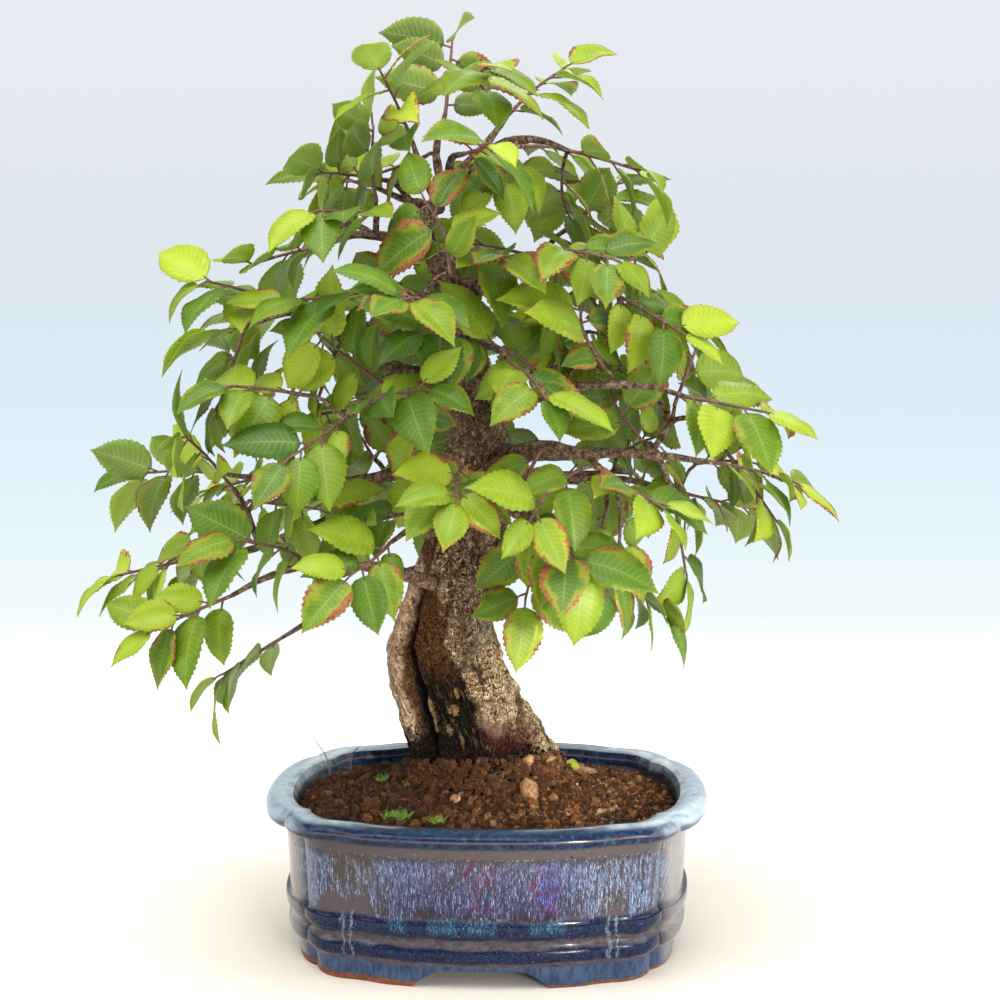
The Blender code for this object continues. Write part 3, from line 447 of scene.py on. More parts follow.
def smooth_route(points, spacing):
    """Points at even spacing along a Catmull-Rom curve through the route."""
    stops = [Vector(p) for p in points]
    stops = [2 * stops[0] - stops[1]] + stops + [2 * stops[-1] - stops[-2]]
    fine = []
    for k in range(1, len(stops) - 2):
        a, b, c, d = stops[k - 1:k + 3]
        for j in range(12):
            t = j / 12
            fine.append(0.5 * (2 * b + (c - a) * t + (2 * a - 5 * b + 4 * c - d) * t ** 2
                               + (3 * b - a - 3 * c + d) * t ** 3))
    fine.append(stops[-2])
    lengths = [0.0]
    for a, b in zip(fine, fine[1:]):
        lengths.append(lengths[-1] + (b - a).length)
    count = max(2, round(lengths[-1] / spacing))
    even, k = [], 0
    for j in range(count + 1):
        target = lengths[-1] * j / count
        while k < len(lengths) - 2 and lengths[k + 1] < target:
            k += 1
        share = (target - lengths[k]) / (lengths[k + 1] - lengths[k])
        even.append(fine[k].lerp(fine[k + 1], share))
    return even


def tube(points, radii, sides):
    """Rings of a tube that thins evenly from the first radius to the last."""
    tangents = []
    for k in range(len(points)):
        tangents.append((points[min(k + 1, len(points) - 1)] - points[max(k - 1, 0)]).normalized())
    side = tangents[0].cross(UP if abs(tangents[0].z) < 0.9 else Vector((1, 0, 0))).normalized()
    rings = []
    for k, (point, tangent) in enumerate(zip(points, tangents)):
        side = (side - tangent * side.dot(tangent)).normalized()
        across = tangent.cross(side)
        radius = radii[0] + (radii[1] - radii[0]) * k / (len(points) - 1)
        turns = [math.tau * (j + 0.5) / sides for j in range(sides)]
        rings.append([point + radius * (side * math.cos(a) + across * math.sin(a)) for a in turns])
    return rings


def bounds_of(vertices):
    low = [min(v[axis] for v in vertices) for axis in range(3)]
    high = [max(v[axis] for v in vertices) for axis in range(3)]
    return low, high


def solid_item(vertices, faces):
    """A solid as the clearance tests see it: its box and its faces."""
    return (*bounds_of(vertices), BVHTree.FromPolygons(vertices, faces))


def tube_item(rings):
    return solid_item(*shell(rings))


def is_clear(item, others):
    low, high, tree = item
    for other_low, other_high, other_tree in others:
        apart = any(low[a] > other_high[a] or high[a] < other_low[a] for a in range(3))
        if not apart and tree.overlap(other_tree):
            return False
    return True


def outward_from_crown(point):
    flat = Vector((point.x - CROWN_AXIS_X, point.y, 0))
    return flat.normalized() if flat.length > 1 else Vector((0, -1, 0))


def crown_points(inset=SPRAY_INSET):
    """Points spread over the whole crown, at this distance inside its outline."""
    low, high = CROWN_PROFILE[0][0], CROWN_PROFILE[-1][0]
    points = []
    for level in range(CROWN_LEVELS):
        height = low + (high - low) * level / (CROWN_LEVELS - 1)
        k = max(j for j in range(len(CROWN_PROFILE) - 1) if CROWN_PROFILE[j][0] <= height)
        share = (height - CROWN_PROFILE[k][0]) / (CROWN_PROFILE[k + 1][0] - CROWN_PROFILE[k][0])
        left, right, deep = (a + (b - a) * share - inset
                             for a, b in zip(CROWN_PROFILE[k][1:], CROWN_PROFILE[k + 1][1:]))
        for step in range(CROWN_BEARINGS):
            bearing = math.tau * (step + 0.5 * (level % 2)) / CROWN_BEARINGS
            reach = (right if math.cos(bearing) > 0 else left) * math.cos(bearing)
            vault = CROWN_VAULT[0] - (CROWN_VAULT[0] - low) * min(1.0, abs(reach) / CROWN_VAULT[1])
            if height >= vault:
                points.append(Vector((CROWN_AXIS_X + reach, deep * math.sin(bearing), height)))
    return points


def spray_middle(route):
    return route[-1] + (route[-1] - route[-2]).normalized() * SPRAY_MIDDLE


def arched_route(base, target, least):
    """A route that arches up from its base and ends where its spray reaches the target."""
    span = target - base
    length = max(span.length - SPRAY_MIDDLE, least)
    end = base + span.normalized() * length
    return [base, (base + end) / 2 + UP * SIDE_BRANCH_RISE * length, end]


def side_branch(target, curves):
    """The route of a branch to the target from the nearest limb."""
    base = min((point for curve in curves for point in curve[1:-1]), key=lambda p: (p - target).length)
    return arched_route(base, target, SIDE_BRANCH_LEAST)


def plan_wood():
    """Routes of all limbs and side branches; each of them carries a spray on its tip.

    Each side branch goes to the place in the crown that is furthest from all sprays so far, unless
    other wood stands where its shoot would start.
    """
    curves = [smooth_route(route, LIMB_SPACING) for _, route in LIMBS.values()]
    tubes = [tube(curve, (radius, LIMB_TIP_RADIUS), 5 if radius >= THICK_LIMB else 4)
             for curve, (radius, _) in zip(curves, LIMBS.values())]
    routes = list(curves)
    places = crown_points()
    while len(routes) < len(LIMBS) + SIDE_BRANCH_COUNT:
        middles = [spray_middle(route) for route in routes]
        target = max(places, key=lambda p: min((p - m).length for m in middles))
        places.remove(target)
        route = side_branch(target, curves)
        heading = (route[-1] - route[-2]).normalized()
        start = [route[-1] + heading * reach for reach in (GAP, SHOOT_STEP)]
        if is_clear(tube_item(tube(start, SHOOT_ROOM, 4)), [tube_item(rings) for rings in tubes]):
            routes.append(route)
            tubes.append(tube(route, SIDE_BRANCH_RADII, 4))
    return routes, tubes


def crown_normal(point):
    """Direction that faces out of the crown, more upward the higher the point is."""
    foot, top = CROWN_PROFILE[0][0], CROWN_PROFILE[-1][0]
    share = max(0.0, (point.z - foot) / (top - foot))
    lift = CROWN_LIFT[0] + (CROWN_LIFT[1] - CROWN_LIFT[0]) * share
    return (outward_from_crown(point) + UP * lift).normalized()


def grow_shoot(start, direction, steps, turn, draw):
    """A shoot that zigzags a little, bends outward or along the crown's surface, and sags."""
    points, heading = [start], direction.copy()
    hand = draw.choice((-1, 1))
    for _ in range(steps):
        aside = heading.cross(UP)
        along_surface = UP.cross(outward_from_crown(points[-1]))
        hand = -hand
        heading = heading + aside * 0.16 * hand + outward_from_crown(points[-1]) * 0.08 - UP * 0.07
        heading += along_surface * turn + Vector([draw.uniform(-0.07, 0.07) for _ in range(3)])
        heading.normalize()
        points.append(points[-1] + heading * SHOOT_STEP)
    return points


def grow_leaf(base, along, hand, roll, size, draw):
    """Frame, size and bends of one leaf; hand is the side it leaves to, or 0 at the shoot's end."""
    normal = crown_normal(base)
    level = (normal - along * normal.dot(along)).normalized()
    aside = along.cross(level)
    aside, level = (aside * math.cos(roll) + level * math.sin(roll),
                    level * math.cos(roll) - aside * math.sin(roll))
    direction = along * (0.5 if hand else 0.9) + aside * 0.8 * hand
    direction += outward_from_crown(base) * 0.15 - UP * draw.uniform(-0.1, 0.5)
    direction += Vector([draw.uniform(-0.25, 0.25) for _ in range(3)])
    direction.normalize()
    facing = level * 0.6 + normal + Vector([draw.uniform(-0.4, 0.4) for _ in range(3)])
    facing = (facing - direction * facing.dot(direction)).normalized()
    length = draw.uniform(*LEAF_LENGTH) * size
    return {
        "base": base, "direction": direction, "facing": facing, "length": length,
        "half_width": length * draw.uniform(*LEAF_WIDTH_RATIO), "droop": draw.uniform(0.35, 1.0),
        "fold": draw.uniform(0.10, 0.30), "wave": draw.uniform(0.03, 0.06) * length,
        "hand": draw.choice((-1, 1)),
    }


def leaf_point(leaf, reach, aside, lift):
    """Point at a distance from the base along the bent midrib, aside from it and above it."""
    forward, facing = leaf["direction"], leaf["facing"]
    blade = max(0.0, reach - PETIOLE_LENGTH)
    bend = leaf["droop"] * blade / leaf["length"]
    point = leaf["base"] + forward * min(reach, PETIOLE_LENGTH)
    if bend > 1e-6:
        curve_radius = blade / bend
        point = point + forward * curve_radius * math.sin(bend)
        point -= facing * curve_radius * (1 - math.cos(bend))
    normal = facing * math.cos(bend) + forward * math.sin(bend)
    across = leaf["direction"].cross(leaf["facing"])
    return point + across * aside + normal * (lift + abs(aside) * leaf["fold"])


def leaf_mesh(leaf, edge=0.0, rib=LEAF_RIB, grow=0.0):
    """A toothed blade with its petiole, thickest at the rib.

    With edge and grow above zero it is the space that the leaf needs, with walls round its edge.
    """
    sides = []
    for hand in (-1, 1):
        outline = []
        for share, width, wave in BLADE_EDGE:
            aside = PETIOLE_HALF if width is None else width * leaf["half_width"]
            lift = wave * leaf["wave"] * hand * leaf["hand"]
            outline.append((PETIOLE_LENGTH + share * leaf["length"], (aside + grow) * hand, lift))
        sides.append(outline)
    root = [(-PETIOLE_ROOT, 0.0, 0.0)]
    tip = [(PETIOLE_LENGTH + leaf["length"] + grow, 0.0, 0.0)]
    outline = root + sides[0] + tip + sides[1][::-1]
    ribs = [(PETIOLE_RIB, 0.0, 0.0), (PETIOLE_LENGTH + BLADE_RIB_PLACE * leaf["length"], 0.0, 0.0)]
    count = len(outline)
    petiole, blade = count, count + 1
    fans = [[k, k + 1, blade] for k in range(1, count - 1)]
    fans += [[0, 1, petiole], [1, blade, petiole], [count - 1, 0, petiole], [count - 1, petiole, blade]]
    top = [leaf_point(leaf, r, a, h + edge) for r, a, h in outline]
    top += [leaf_point(leaf, r, a, h + rib) for r, a, h in ribs]
    if edge == 0.0:
        reach, aside, lift = ribs[1]
        below = len(top)
        lower = [[k + 1, k, below] for k in range(1, count - 1)]
        lower += [[0, count - 1, 1], [1, count - 1, below]]
        return top + [leaf_point(leaf, reach, aside, lift - rib)], fans + lower
    under = [leaf_point(leaf, r, a, h - edge) for r, a, h in outline]
    under += [leaf_point(leaf, r, a, h - rib) for r, a, h in ribs]
    shift = len(top)
    walls = [[k, (k + 1) % count, (k + 1) % count + shift, k + shift] for k in range(count)]
    lower = [[v + shift for v in reversed(fan)] for fan in fans]
    return top + under, fans + lower + walls


def plan_spray(tip, direction, number, placed):
    """Find a shoot and leaves that keep clear of all that stands there already."""
    turn = SHOOT_TURN * (1 if number % 2 else -1) if number >= len(LIMBS) else 0.0
    for attempt in range(SHOOT_TRIES):
        draw = random.Random(1000 * number + attempt)
        steps = SHOOT_STEPS if attempt < SHOOT_TRIES * 2 / 3 else SHOOT_STEPS - 1
        heading = direction + Vector([draw.uniform(-0.05, 0.05) * attempt for _ in range(3)])
        points = grow_shoot(tip, heading.normalized(), steps, turn, draw)
        lean = SHOOT_RADII[0] * (points[1] - points[0]).normalized().cross(direction).length
        points = [point + direction * (GAP + lean) for point in points]
        guard = [points[0].lerp(points[1], 0.25)] + points[1:]
        wide = [radius + CLEARANCE for radius in SHOOT_RADII]
        rings = tube(points, SHOOT_RADII, SHOOT_SIDES)
        if is_clear(tube_item(rings), placed) and is_clear(tube_item(tube(guard, wide, SHOOT_SIDES)), placed):
            break
    else:
        return None
    seats = [(a.lerp(b, share), (b - a).normalized()) for a, b in zip(points, points[1:])
             for share in LEAF_PLACES]
    end_along = (points[-1] - points[-2]).normalized()
    seats.append((points[-1] - end_along, end_along))
    leaves, own = [], []
    hand, roll = draw.choice((-1, 1)), draw.uniform(-SHOOT_ROLL, SHOOT_ROLL)
    for k, (base, along) in enumerate(seats):
        last = k == len(seats) - 1
        hand = -hand
        size = (0.75, 0.9)[k] if k < 2 else (0.85 if last else 1.0)
        for attempt in range(LEAF_TRIES):
            leaf = grow_leaf(base, along, 0 if last else hand, roll, size * (1 - 0.012 * attempt), draw)
            space = solid_item(*leaf_mesh(leaf, CLEARANCE, LEAF_RIB + CLEARANCE, CLEARANCE))
            if is_clear(space, placed + own):
                leaves.append(leaf)
                own.append(solid_item(*leaf_mesh(leaf)))
                break
    placed.append(tube_item(rings))
    placed.extend(own)
    return points, leaves


def clamp(value):
    """The value held between 0 and 1."""
    return min(1.0, max(0.0, value))


def placed(points):
    """Points in millimetres about the pot's middle, turned into metres in the part's frame."""
    return np.asarray(points, dtype=float) * MM + np.array(POT_SHIFT)


def add_object(name, data):
    made = bpy.data.objects.new(name, data)
    bpy.context.scene.collection.objects.link(made)
    return made


def mesh_object(name, points, faces):
    mesh = bpy.data.meshes.new(name)
    mesh.from_pydata(placed(points).tolist(), [], faces)
    mesh.shade_smooth()
    return add_object(name, mesh)


def new_piece(name, points, faces, surface, slot, replaced=()):
    """A mesh piece that rides on the part's one body."""
    made = mesh_object(name, points, faces)
    made.data.materials.append(surface)
    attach(made, "root")
    if replaced:
        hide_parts(*replaced)
    return made


class Heap:
    """Collects closed shells for one piece, with numbers for each vertex."""

    def __init__(self):
        self.points, self.faces, self.values, self.count = [], [], {}, 0

    def add(self, points, faces, **values):
        self.faces.extend([[v + self.count for v in face] for face in faces])
        self.points.append(np.asarray(points, dtype=float))
        for name, value in values.items():
            self.values.setdefault(name, []).append(np.broadcast_to(value, len(points)))
        self.count += len(points)

    def piece(self, name, surface, slot, replaced=()):
        made = new_piece(name, np.concatenate(self.points), self.faces, surface, slot, replaced)
        for key, parts in self.values.items():
            attribute = made.data.attributes.new(key, "FLOAT", "POINT")
            attribute.data.foreach_set("value", np.concatenate(parts).astype(np.float32))
        return made


def outward_faces(piece):
    work = bmesh.new()
    work.from_mesh(piece.data)
    bmesh.ops.recalc_face_normals(work, faces=work.faces)
    work.to_mesh(piece.data)
    work.free()


def sharpen(piece, degrees):
    """Keep edges sharper than this angle crisp while the rest stays smooth."""
    work = bmesh.new()
    work.from_mesh(piece.data)
    for edge in work.edges:
        edge.smooth = len(edge.link_faces) == 2 and edge.calc_face_angle(0.0) < math.radians(degrees)
    work.to_mesh(piece.data)
    work.free()


class Signal:
    """What a node gives out; plus, minus, times, or (the larger) and abs add the nodes for them."""

    def __init__(self, tree, socket):
        self.tree, self.socket = tree, socket

    def __add__(self, other):
        return self.tree.math("ADD", self, other)

    def __sub__(self, other):
        return self.tree.math("SUBTRACT", self, other)

    def __rsub__(self, other):
        return self.tree.math("SUBTRACT", other, self)

    def __mul__(self, other):
        return self.tree.math("MULTIPLY", self, other)

    def __or__(self, other):
        return self.tree.math("MAXIMUM", self, other)

    def __abs__(self):
        return self.tree.math("ABSOLUTE", self)

    __radd__, __rmul__ = __add__, __mul__

    def band(self, low, high):
        """0 below low, 1 above high, smooth between; the other way round if low is above high."""
        return self.tree.add("ShaderNodeMapRange", {"Value": self, "From Min": low, "From Max": high},
                             interpolation_type="SMOOTHSTEP")

    def stripe(self, start, full, waning, end):
        """1 between the middle two values, 0 outside the outer two."""
        return self.band(start, full) * self.band(end, waning)

    def near(self, places):
        """1 close to one of the places, 0 from its half width on."""
        nearest = 0.0
        for middle, half in places:
            nearest = abs(self - middle).band(half, 0.45 * half) | nearest
        return nearest


class Tree:
    """Short calls for building one material's nodes."""

    def __init__(self, name):
        self.material = bpy.data.materials.new(name)
        self.material.use_nodes = True
        self.nodes = self.material.node_tree.nodes
        self.shader = self.nodes["Principled BSDF"]

    def add(self, kind, inputs, output=0, **settings):
        """One node with its settings and inputs, as the signal from one of its outputs."""
        node = self.nodes.new(kind)
        for key, value in settings.items():
            setattr(node, key, value)
        for key, value in inputs.items():
            self.plug(node.inputs[key], value)
        return Signal(self, node.outputs[output])

    def plug(self, socket, value):
        if isinstance(value, Signal):
            self.material.node_tree.links.new(value.socket, socket)
        elif hasattr(socket.default_value, "__len__") and len(value) < len(socket.default_value):
            socket.default_value = (*value, 1.0)
        else:
            socket.default_value = value

    def place(self, upright=1.0):
        """Position in millimetres, with its height squeezed by this factor."""
        scale = (1 / MM, 1 / MM, upright / MM)
        return self.add("ShaderNodeVectorMath", {0: self.add("ShaderNodeTexCoord", {}, "Object"), 1: scale},
                        operation="MULTIPLY")

    def axis(self, name):
        return self.add("ShaderNodeSeparateXYZ", {0: self.place()}, name)

    def across(self):
        """Distance to the right of the pot's middle."""
        return self.axis("X") - POT_SHIFT.x / MM

    def leaning(self, lean, squeeze):
        """Position in millimetres, squeezed along lines that lean by this much for each one upward."""
        x, y, z = (self.axis(name) for name in "XYZ")
        return self.add("ShaderNodeCombineXYZ", {0: x - z * lean, 1: y, 2: z * squeeze})

    def noise(self, scale, detail=3.0, rough=0.55, swirl=0.0, upright=1.0, place=None):
        return self.add("ShaderNodeTexNoise", {
            "Vector": place or self.place(upright), "Scale": scale, "Detail": detail, "Roughness": rough,
            "Distortion": swirl}, "Fac")

    def flakes(self, scale, waver, upright):
        """Distance from the edges of wavy cells."""
        place = self.place(upright)
        bend = self.add("ShaderNodeTexNoise", {"Vector": place, "Scale": 0.35, "Detail": 2.0}, "Color")
        bent = self.add("ShaderNodeVectorMath", {0: bend, 1: [waver] * 3, 2: place}, operation="MULTIPLY_ADD")
        return self.add("ShaderNodeTexVoronoi", {"Vector": bent, "Scale": scale}, "Distance",
                        feature="DISTANCE_TO_EDGE")

    def mark(self, name):
        """The number that the mesh keeps for each of its points under this name."""
        return self.add("ShaderNodeAttribute", {}, "Fac", attribute_name=name)

    def math(self, operation, a, b=0.0):
        return self.add("ShaderNodeMath", {0: a, 1: b}, operation=operation)

    def ramp(self, value, *stops):
        """Colour that follows a value, from stops of a place and a colour each."""
        made = self.add("ShaderNodeValToRGB", {"Fac": value}, "Color")
        points = made.socket.node.color_ramp.elements
        while len(points) < len(stops):
            points.new(0.5)
        for point, (place, colour) in zip(points, stops):
            point.position = place
            point.color = (*colour, 1.0)
        return made

    def coat(self, colour, *coats):
        """The colour under coats of a share and a colour each, one over the other."""
        for share, over in coats:
            colour = self.add("ShaderNodeMix", {0: share, 6: colour, 7: over}, 2, data_type="RGBA")
        return colour

    def bump(self, height, distance, strength=1.0):
        """Relief of this many millimetres."""
        return self.add("ShaderNodeBump", {"Height": height, "Distance": distance * MM, "Strength": strength})

    def finish(self, colour, roughness, normal=None, others=()):
        inputs = {"Base Color": colour, "Roughness": roughness, **dict(others)}
        if normal:
            inputs["Normal"] = normal
        for name, value in inputs.items():
            self.plug(self.shader.inputs[name], value)
        return self.material

    def blend(self, share, other):
        """Mix another shader into the finished one."""
        both = self.add("ShaderNodeMixShader", {0: share, 1: Signal(self, self.shader.outputs[0]), 2: other})
        self.plug(self.nodes["Material Output"].inputs["Surface"], both)
        return self.material


class Glaze(Tree):
    """The pot's material, with the places and the streaky noises that its parts share."""

    def __init__(self):
        super().__init__("streaked_blue_glaze")
        self.x, self.z = self.across(), self.axis("Z")
        self.side = abs(self.x)
        self.runs = self.noise(0.42, 4.0, 0.62, 0.5, 0.10)
        self.strands = self.noise(2.0, 6.0, 0.74, 0.9, 0.13)
        self.dashes = self.noise(2.3, 3.0, 0.60, 0.6, 0.22)
        self.broad = self.noise(0.05, upright=0.5)
        self.level = self.z + (self.noise(0.045, 2.0) - 0.5) * 5.0
        self.ridges = self.level.stripe(*UPPER_RIDGE) | self.level.stripe(*LOWER_RIDGE)
        self.neck = self.coat((0.078, 0.062, 0.059), (self.noise(0.15) * 0.5, (0.042, 0.044, 0.060)))

    def bare_arcs(self):
        """Arcs at the foot of the wall that the runs leave free."""
        bare = (self.z + self.noise(0.070, 2.0, upright=0.0) * -46.0).band(13.0, 8.0)
        for middle, half, top in BARE_ARCS:
            away = (self.x - middle) * (1 / half)
            bare = bare | (self.z + away * away * 7.0).band(top + 0.8, top - 0.8)
        return bare

    def wall(self):
        """Dark ground with pale blue runs, violet and wine red blushes in the middle, and painted shade over
        the middle.
        """
        z, strands, dashes, bare = self.z, self.strands, self.dashes, self.bare_arcs()
        zone = (z + (self.runs - 0.5) * 16.0).band(*RUNS_TOP) * (1.0 - bare) * z.band(62.0, 60.5)
        cover = strands + (self.runs * 0.90 + (self.broad - 0.5) * 0.45)
        middle = self.side.band(*WALL_MIDDLE)
        # painted shade: the wall's middle is darkened between the streaks, more so lower down
        shade = middle * (0.30 + z.band(60.0, 40.0)) * strands.band(0.66, 0.50)
        blush = middle * (z.band(33.0, 38.0) * zone)
        tint = blush * strands.band(0.44, 0.56)
        wine = self.noise(0.24, 4.0, 0.65, 0.6, 0.5).band(0.50, 0.60) * blush * self.x.near(WINE_PLACES)
        seam = z.stripe(*SEAM) * self.noise(0.75, 4.0).band(0.50, 0.62)
        ground = self.ramp(self.broad, (0.36, (0.052, 0.037, 0.029)), (0.52, (0.042, 0.033, 0.034)),
                           (0.66, (0.028, 0.028, 0.046)))
        streak = self.ramp(strands, (0.41, (0.040, 0.038, 0.042)), (0.50, (0.082, 0.108, 0.175)),
                           (0.59, (0.175, 0.250, 0.405)), (0.72, (0.62, 0.73, 0.80)))
        return self.coat(
            ground, (bare * 0.7, (0.074, 0.056, 0.064)), (cover.band(0.89, 1.02) * zone, streak),
            # painted shade over the middle of the wall
            (shade * 0.78, (0.016, 0.013, 0.024)),
            (dashes.band(0.63, 0.70) * zone * 0.42, (0.44, 0.57, 0.70)),
            (dashes.band(0.44, 0.36) * zone * 0.8, (0.022, 0.018, 0.024)), (tint * 0.20, (0.10, 0.13, 0.38)),
            (self.x.near(VIOLET_PLACES) * tint * 0.45, (0.060, 0.060, 0.32)),
            (wine * strands.band(0.62, 0.50) * 0.80, (0.090, 0.010, 0.024)),
            (z.band(*NECK_FOOT), self.neck), (seam * 0.22, (0.40, 0.50, 0.54)))

    def base(self):
        """Navy ridges with mauve grooves, a blue foot, teal drips and a few thin streams."""
        z, strands = self.z, self.strands
        navy = self.ramp(self.noise(0.5, 4.0), (0.36, (0.003, 0.005, 0.016)), (0.66, (0.007, 0.018, 0.058)))
        navy = self.coat(navy, (self.noise(1.5, 1.0).band(0.66, 0.72) * 0.45, (0.17, 0.19, 0.26)))
        groove = self.ramp(self.noise(0.4, 4.0), (0.36, (0.046, 0.037, 0.046)), (0.64, (0.088, 0.074, 0.088)))
        apron = self.ramp(self.noise(0.5, 4.0, upright=0.3), (0.36, (0.016, 0.036, 0.086)),
                          (0.64, (0.052, 0.092, 0.170)))
        teal = self.ramp(self.dashes, (0.42, (0.012, 0.050, 0.110)), (0.55, (0.050, 0.21, 0.33)),
                         (0.68, (0.28, 0.52, 0.60)))
        drip = self.x.near(TEAL_PLACES) * (self.level.band(25.5, 30.0) * strands.band(0.49, 0.56))
        stream = (self.x + (self.noise(0.12, 2.0) - 0.5) * 9.0).near(STREAM_PLACES)
        stream = stream * (z.band(11.5, 15.0) * strands.band(0.45, 0.53))
        return self.coat(groove, (self.ridges, navy), (z.band(*APRON_TOP), apron), (drip * 0.70, teal),
                         (stream * 0.65, (0.19, 0.27, 0.31)))

    def rim(self):
        """A navy lip with a bare line round it, pale at the pot's ends as pale glaze with painted reflection,
        and a painted sheen on its top.
        """
        z = self.z
        navy = self.ramp(self.noise(0.35, 4.0), (0.36, (0.003, 0.007, 0.020)), (0.54, (0.007, 0.018, 0.050)),
                         (0.70, (0.014, 0.050, 0.090)))
        pale = self.ramp(self.noise(0.22, 4.0), (0.30, (0.35, 0.445, 0.51)), (0.70, (0.47, 0.575, 0.65)))
        reach = self.side + (self.noise(0.08) - 0.5) * 50.0
        # the pale ends grow paler towards the top of the lip: painted reflection over a pale glaze
        upper = 0.22 + z.band(70.5, 74.0) * 0.78
        ends = reach.band(*PALE_SHEEN_ENDS) * upper | z.band(75.0, 76.4) * reach.band(40.0, 84.0)
        return self.coat(
            navy, (z.stripe(*LIP_LINE) * 0.75, (0.082, 0.058, 0.054)),
            # pale ends: pale glaze with painted reflection
            (ends * 0.85, pale),
            # painted sheen: the rim's top face is a lighter blue where it is not pale
            (z.band(74.2, 76.2) * (1.0 - ends) * 0.25, (0.07, 0.11, 0.16)), (z.band(69.6, 68.2), self.neck))


def glaze_material():
    """Grey brown glaze with pale blue runs on the wall, navy on rim and ridges, bare clay at the foot; the
    end lobes' paleness is partly painted reflection.
    """
    tree = Glaze()
    z = tree.z
    # the end lobes paler: partly their glaze, partly painted reflection
    lobe = tree.side.band(*END_LOBES) * z.band(68.5, 66.0) * (1.0 - tree.ridges * 0.25)
    lobe = lobe * (1.0 - abs(tree.axis("Y") - POT_SHIFT.y / MM).band(*END_MIDDLE) * 0.85)
    bare = (z - tree.noise(0.12) * (1.8 + tree.x.band(40.0, -60.0) * 3.2)).band(*BARE_CLAY)
    clay = tree.ramp(tree.noise(0.6, 4.0), (0.3, (0.12, 0.038, 0.019)), (0.7, (0.27, 0.100, 0.052)))
    colour = tree.coat(
        tree.wall(), ((tree.level + (tree.runs - 0.5) * 7.0).band(*WALL_FOOT), tree.base()),
        # the rim, then the end lobes' pale glaze with painted reflection
        (z.band(*RIM_FOOT), tree.rim()), (lobe * 0.70, (0.295, 0.270, 0.250)),
        (tree.noise(1.1, 1.0).band(0.765, 0.80) * 0.8, (0.42, 0.31, 0.20)),
        (tree.noise(0.20, 0.0).band(0.81, 0.825) * 0.85, (0.030, 0.024, 0.026)), (bare, clay))
    relief = tree.strands * 0.3 + tree.noise(0.10, 1.0)
    return tree.finish(colour, bare * 0.60 + tree.noise(0.5) * 0.22, tree.bump(relief, 0.25, 0.4),
                       {"Specular IOR Level": 0.17, "Coat Weight": 0.06, "Coat Roughness": 0.07})


def grain_material():
    """Baked clay granules: dark to rusty brown, a few tan ones, damp and dull, pale flecks that are partly
    painted glints, and darker on the left as painted shade.
    """
    tree = Tree("clay_granules")
    pores = tree.noise(1.6, 4.0, 0.7)
    base = tree.ramp(tree.mark("tone"), (0.0, (0.050, 0.020, 0.009)), (0.40, (0.115, 0.045, 0.016)),
                     (0.74, (0.215, 0.082, 0.026)), (0.94, (0.37, 0.155, 0.048)), (1.0, (0.46, 0.29, 0.14)))
    colour = tree.coat(base, (pores.band(0.54, 0.38), (0.030, 0.013, 0.007)),
                       # pale tan flecks, partly painted glints
                       (pores.band(0.57, 0.68) * 0.5, (0.40, 0.22, 0.10)),
                       # painted shade: the granules darken towards the left
                       (tree.across().band(38.0, -12.0) * 0.42, (0.016, 0.008, 0.004)))
    return tree.finish(colour, 0.82, tree.bump(pores, 0.6), {"Specular IOR Level": 0.12})


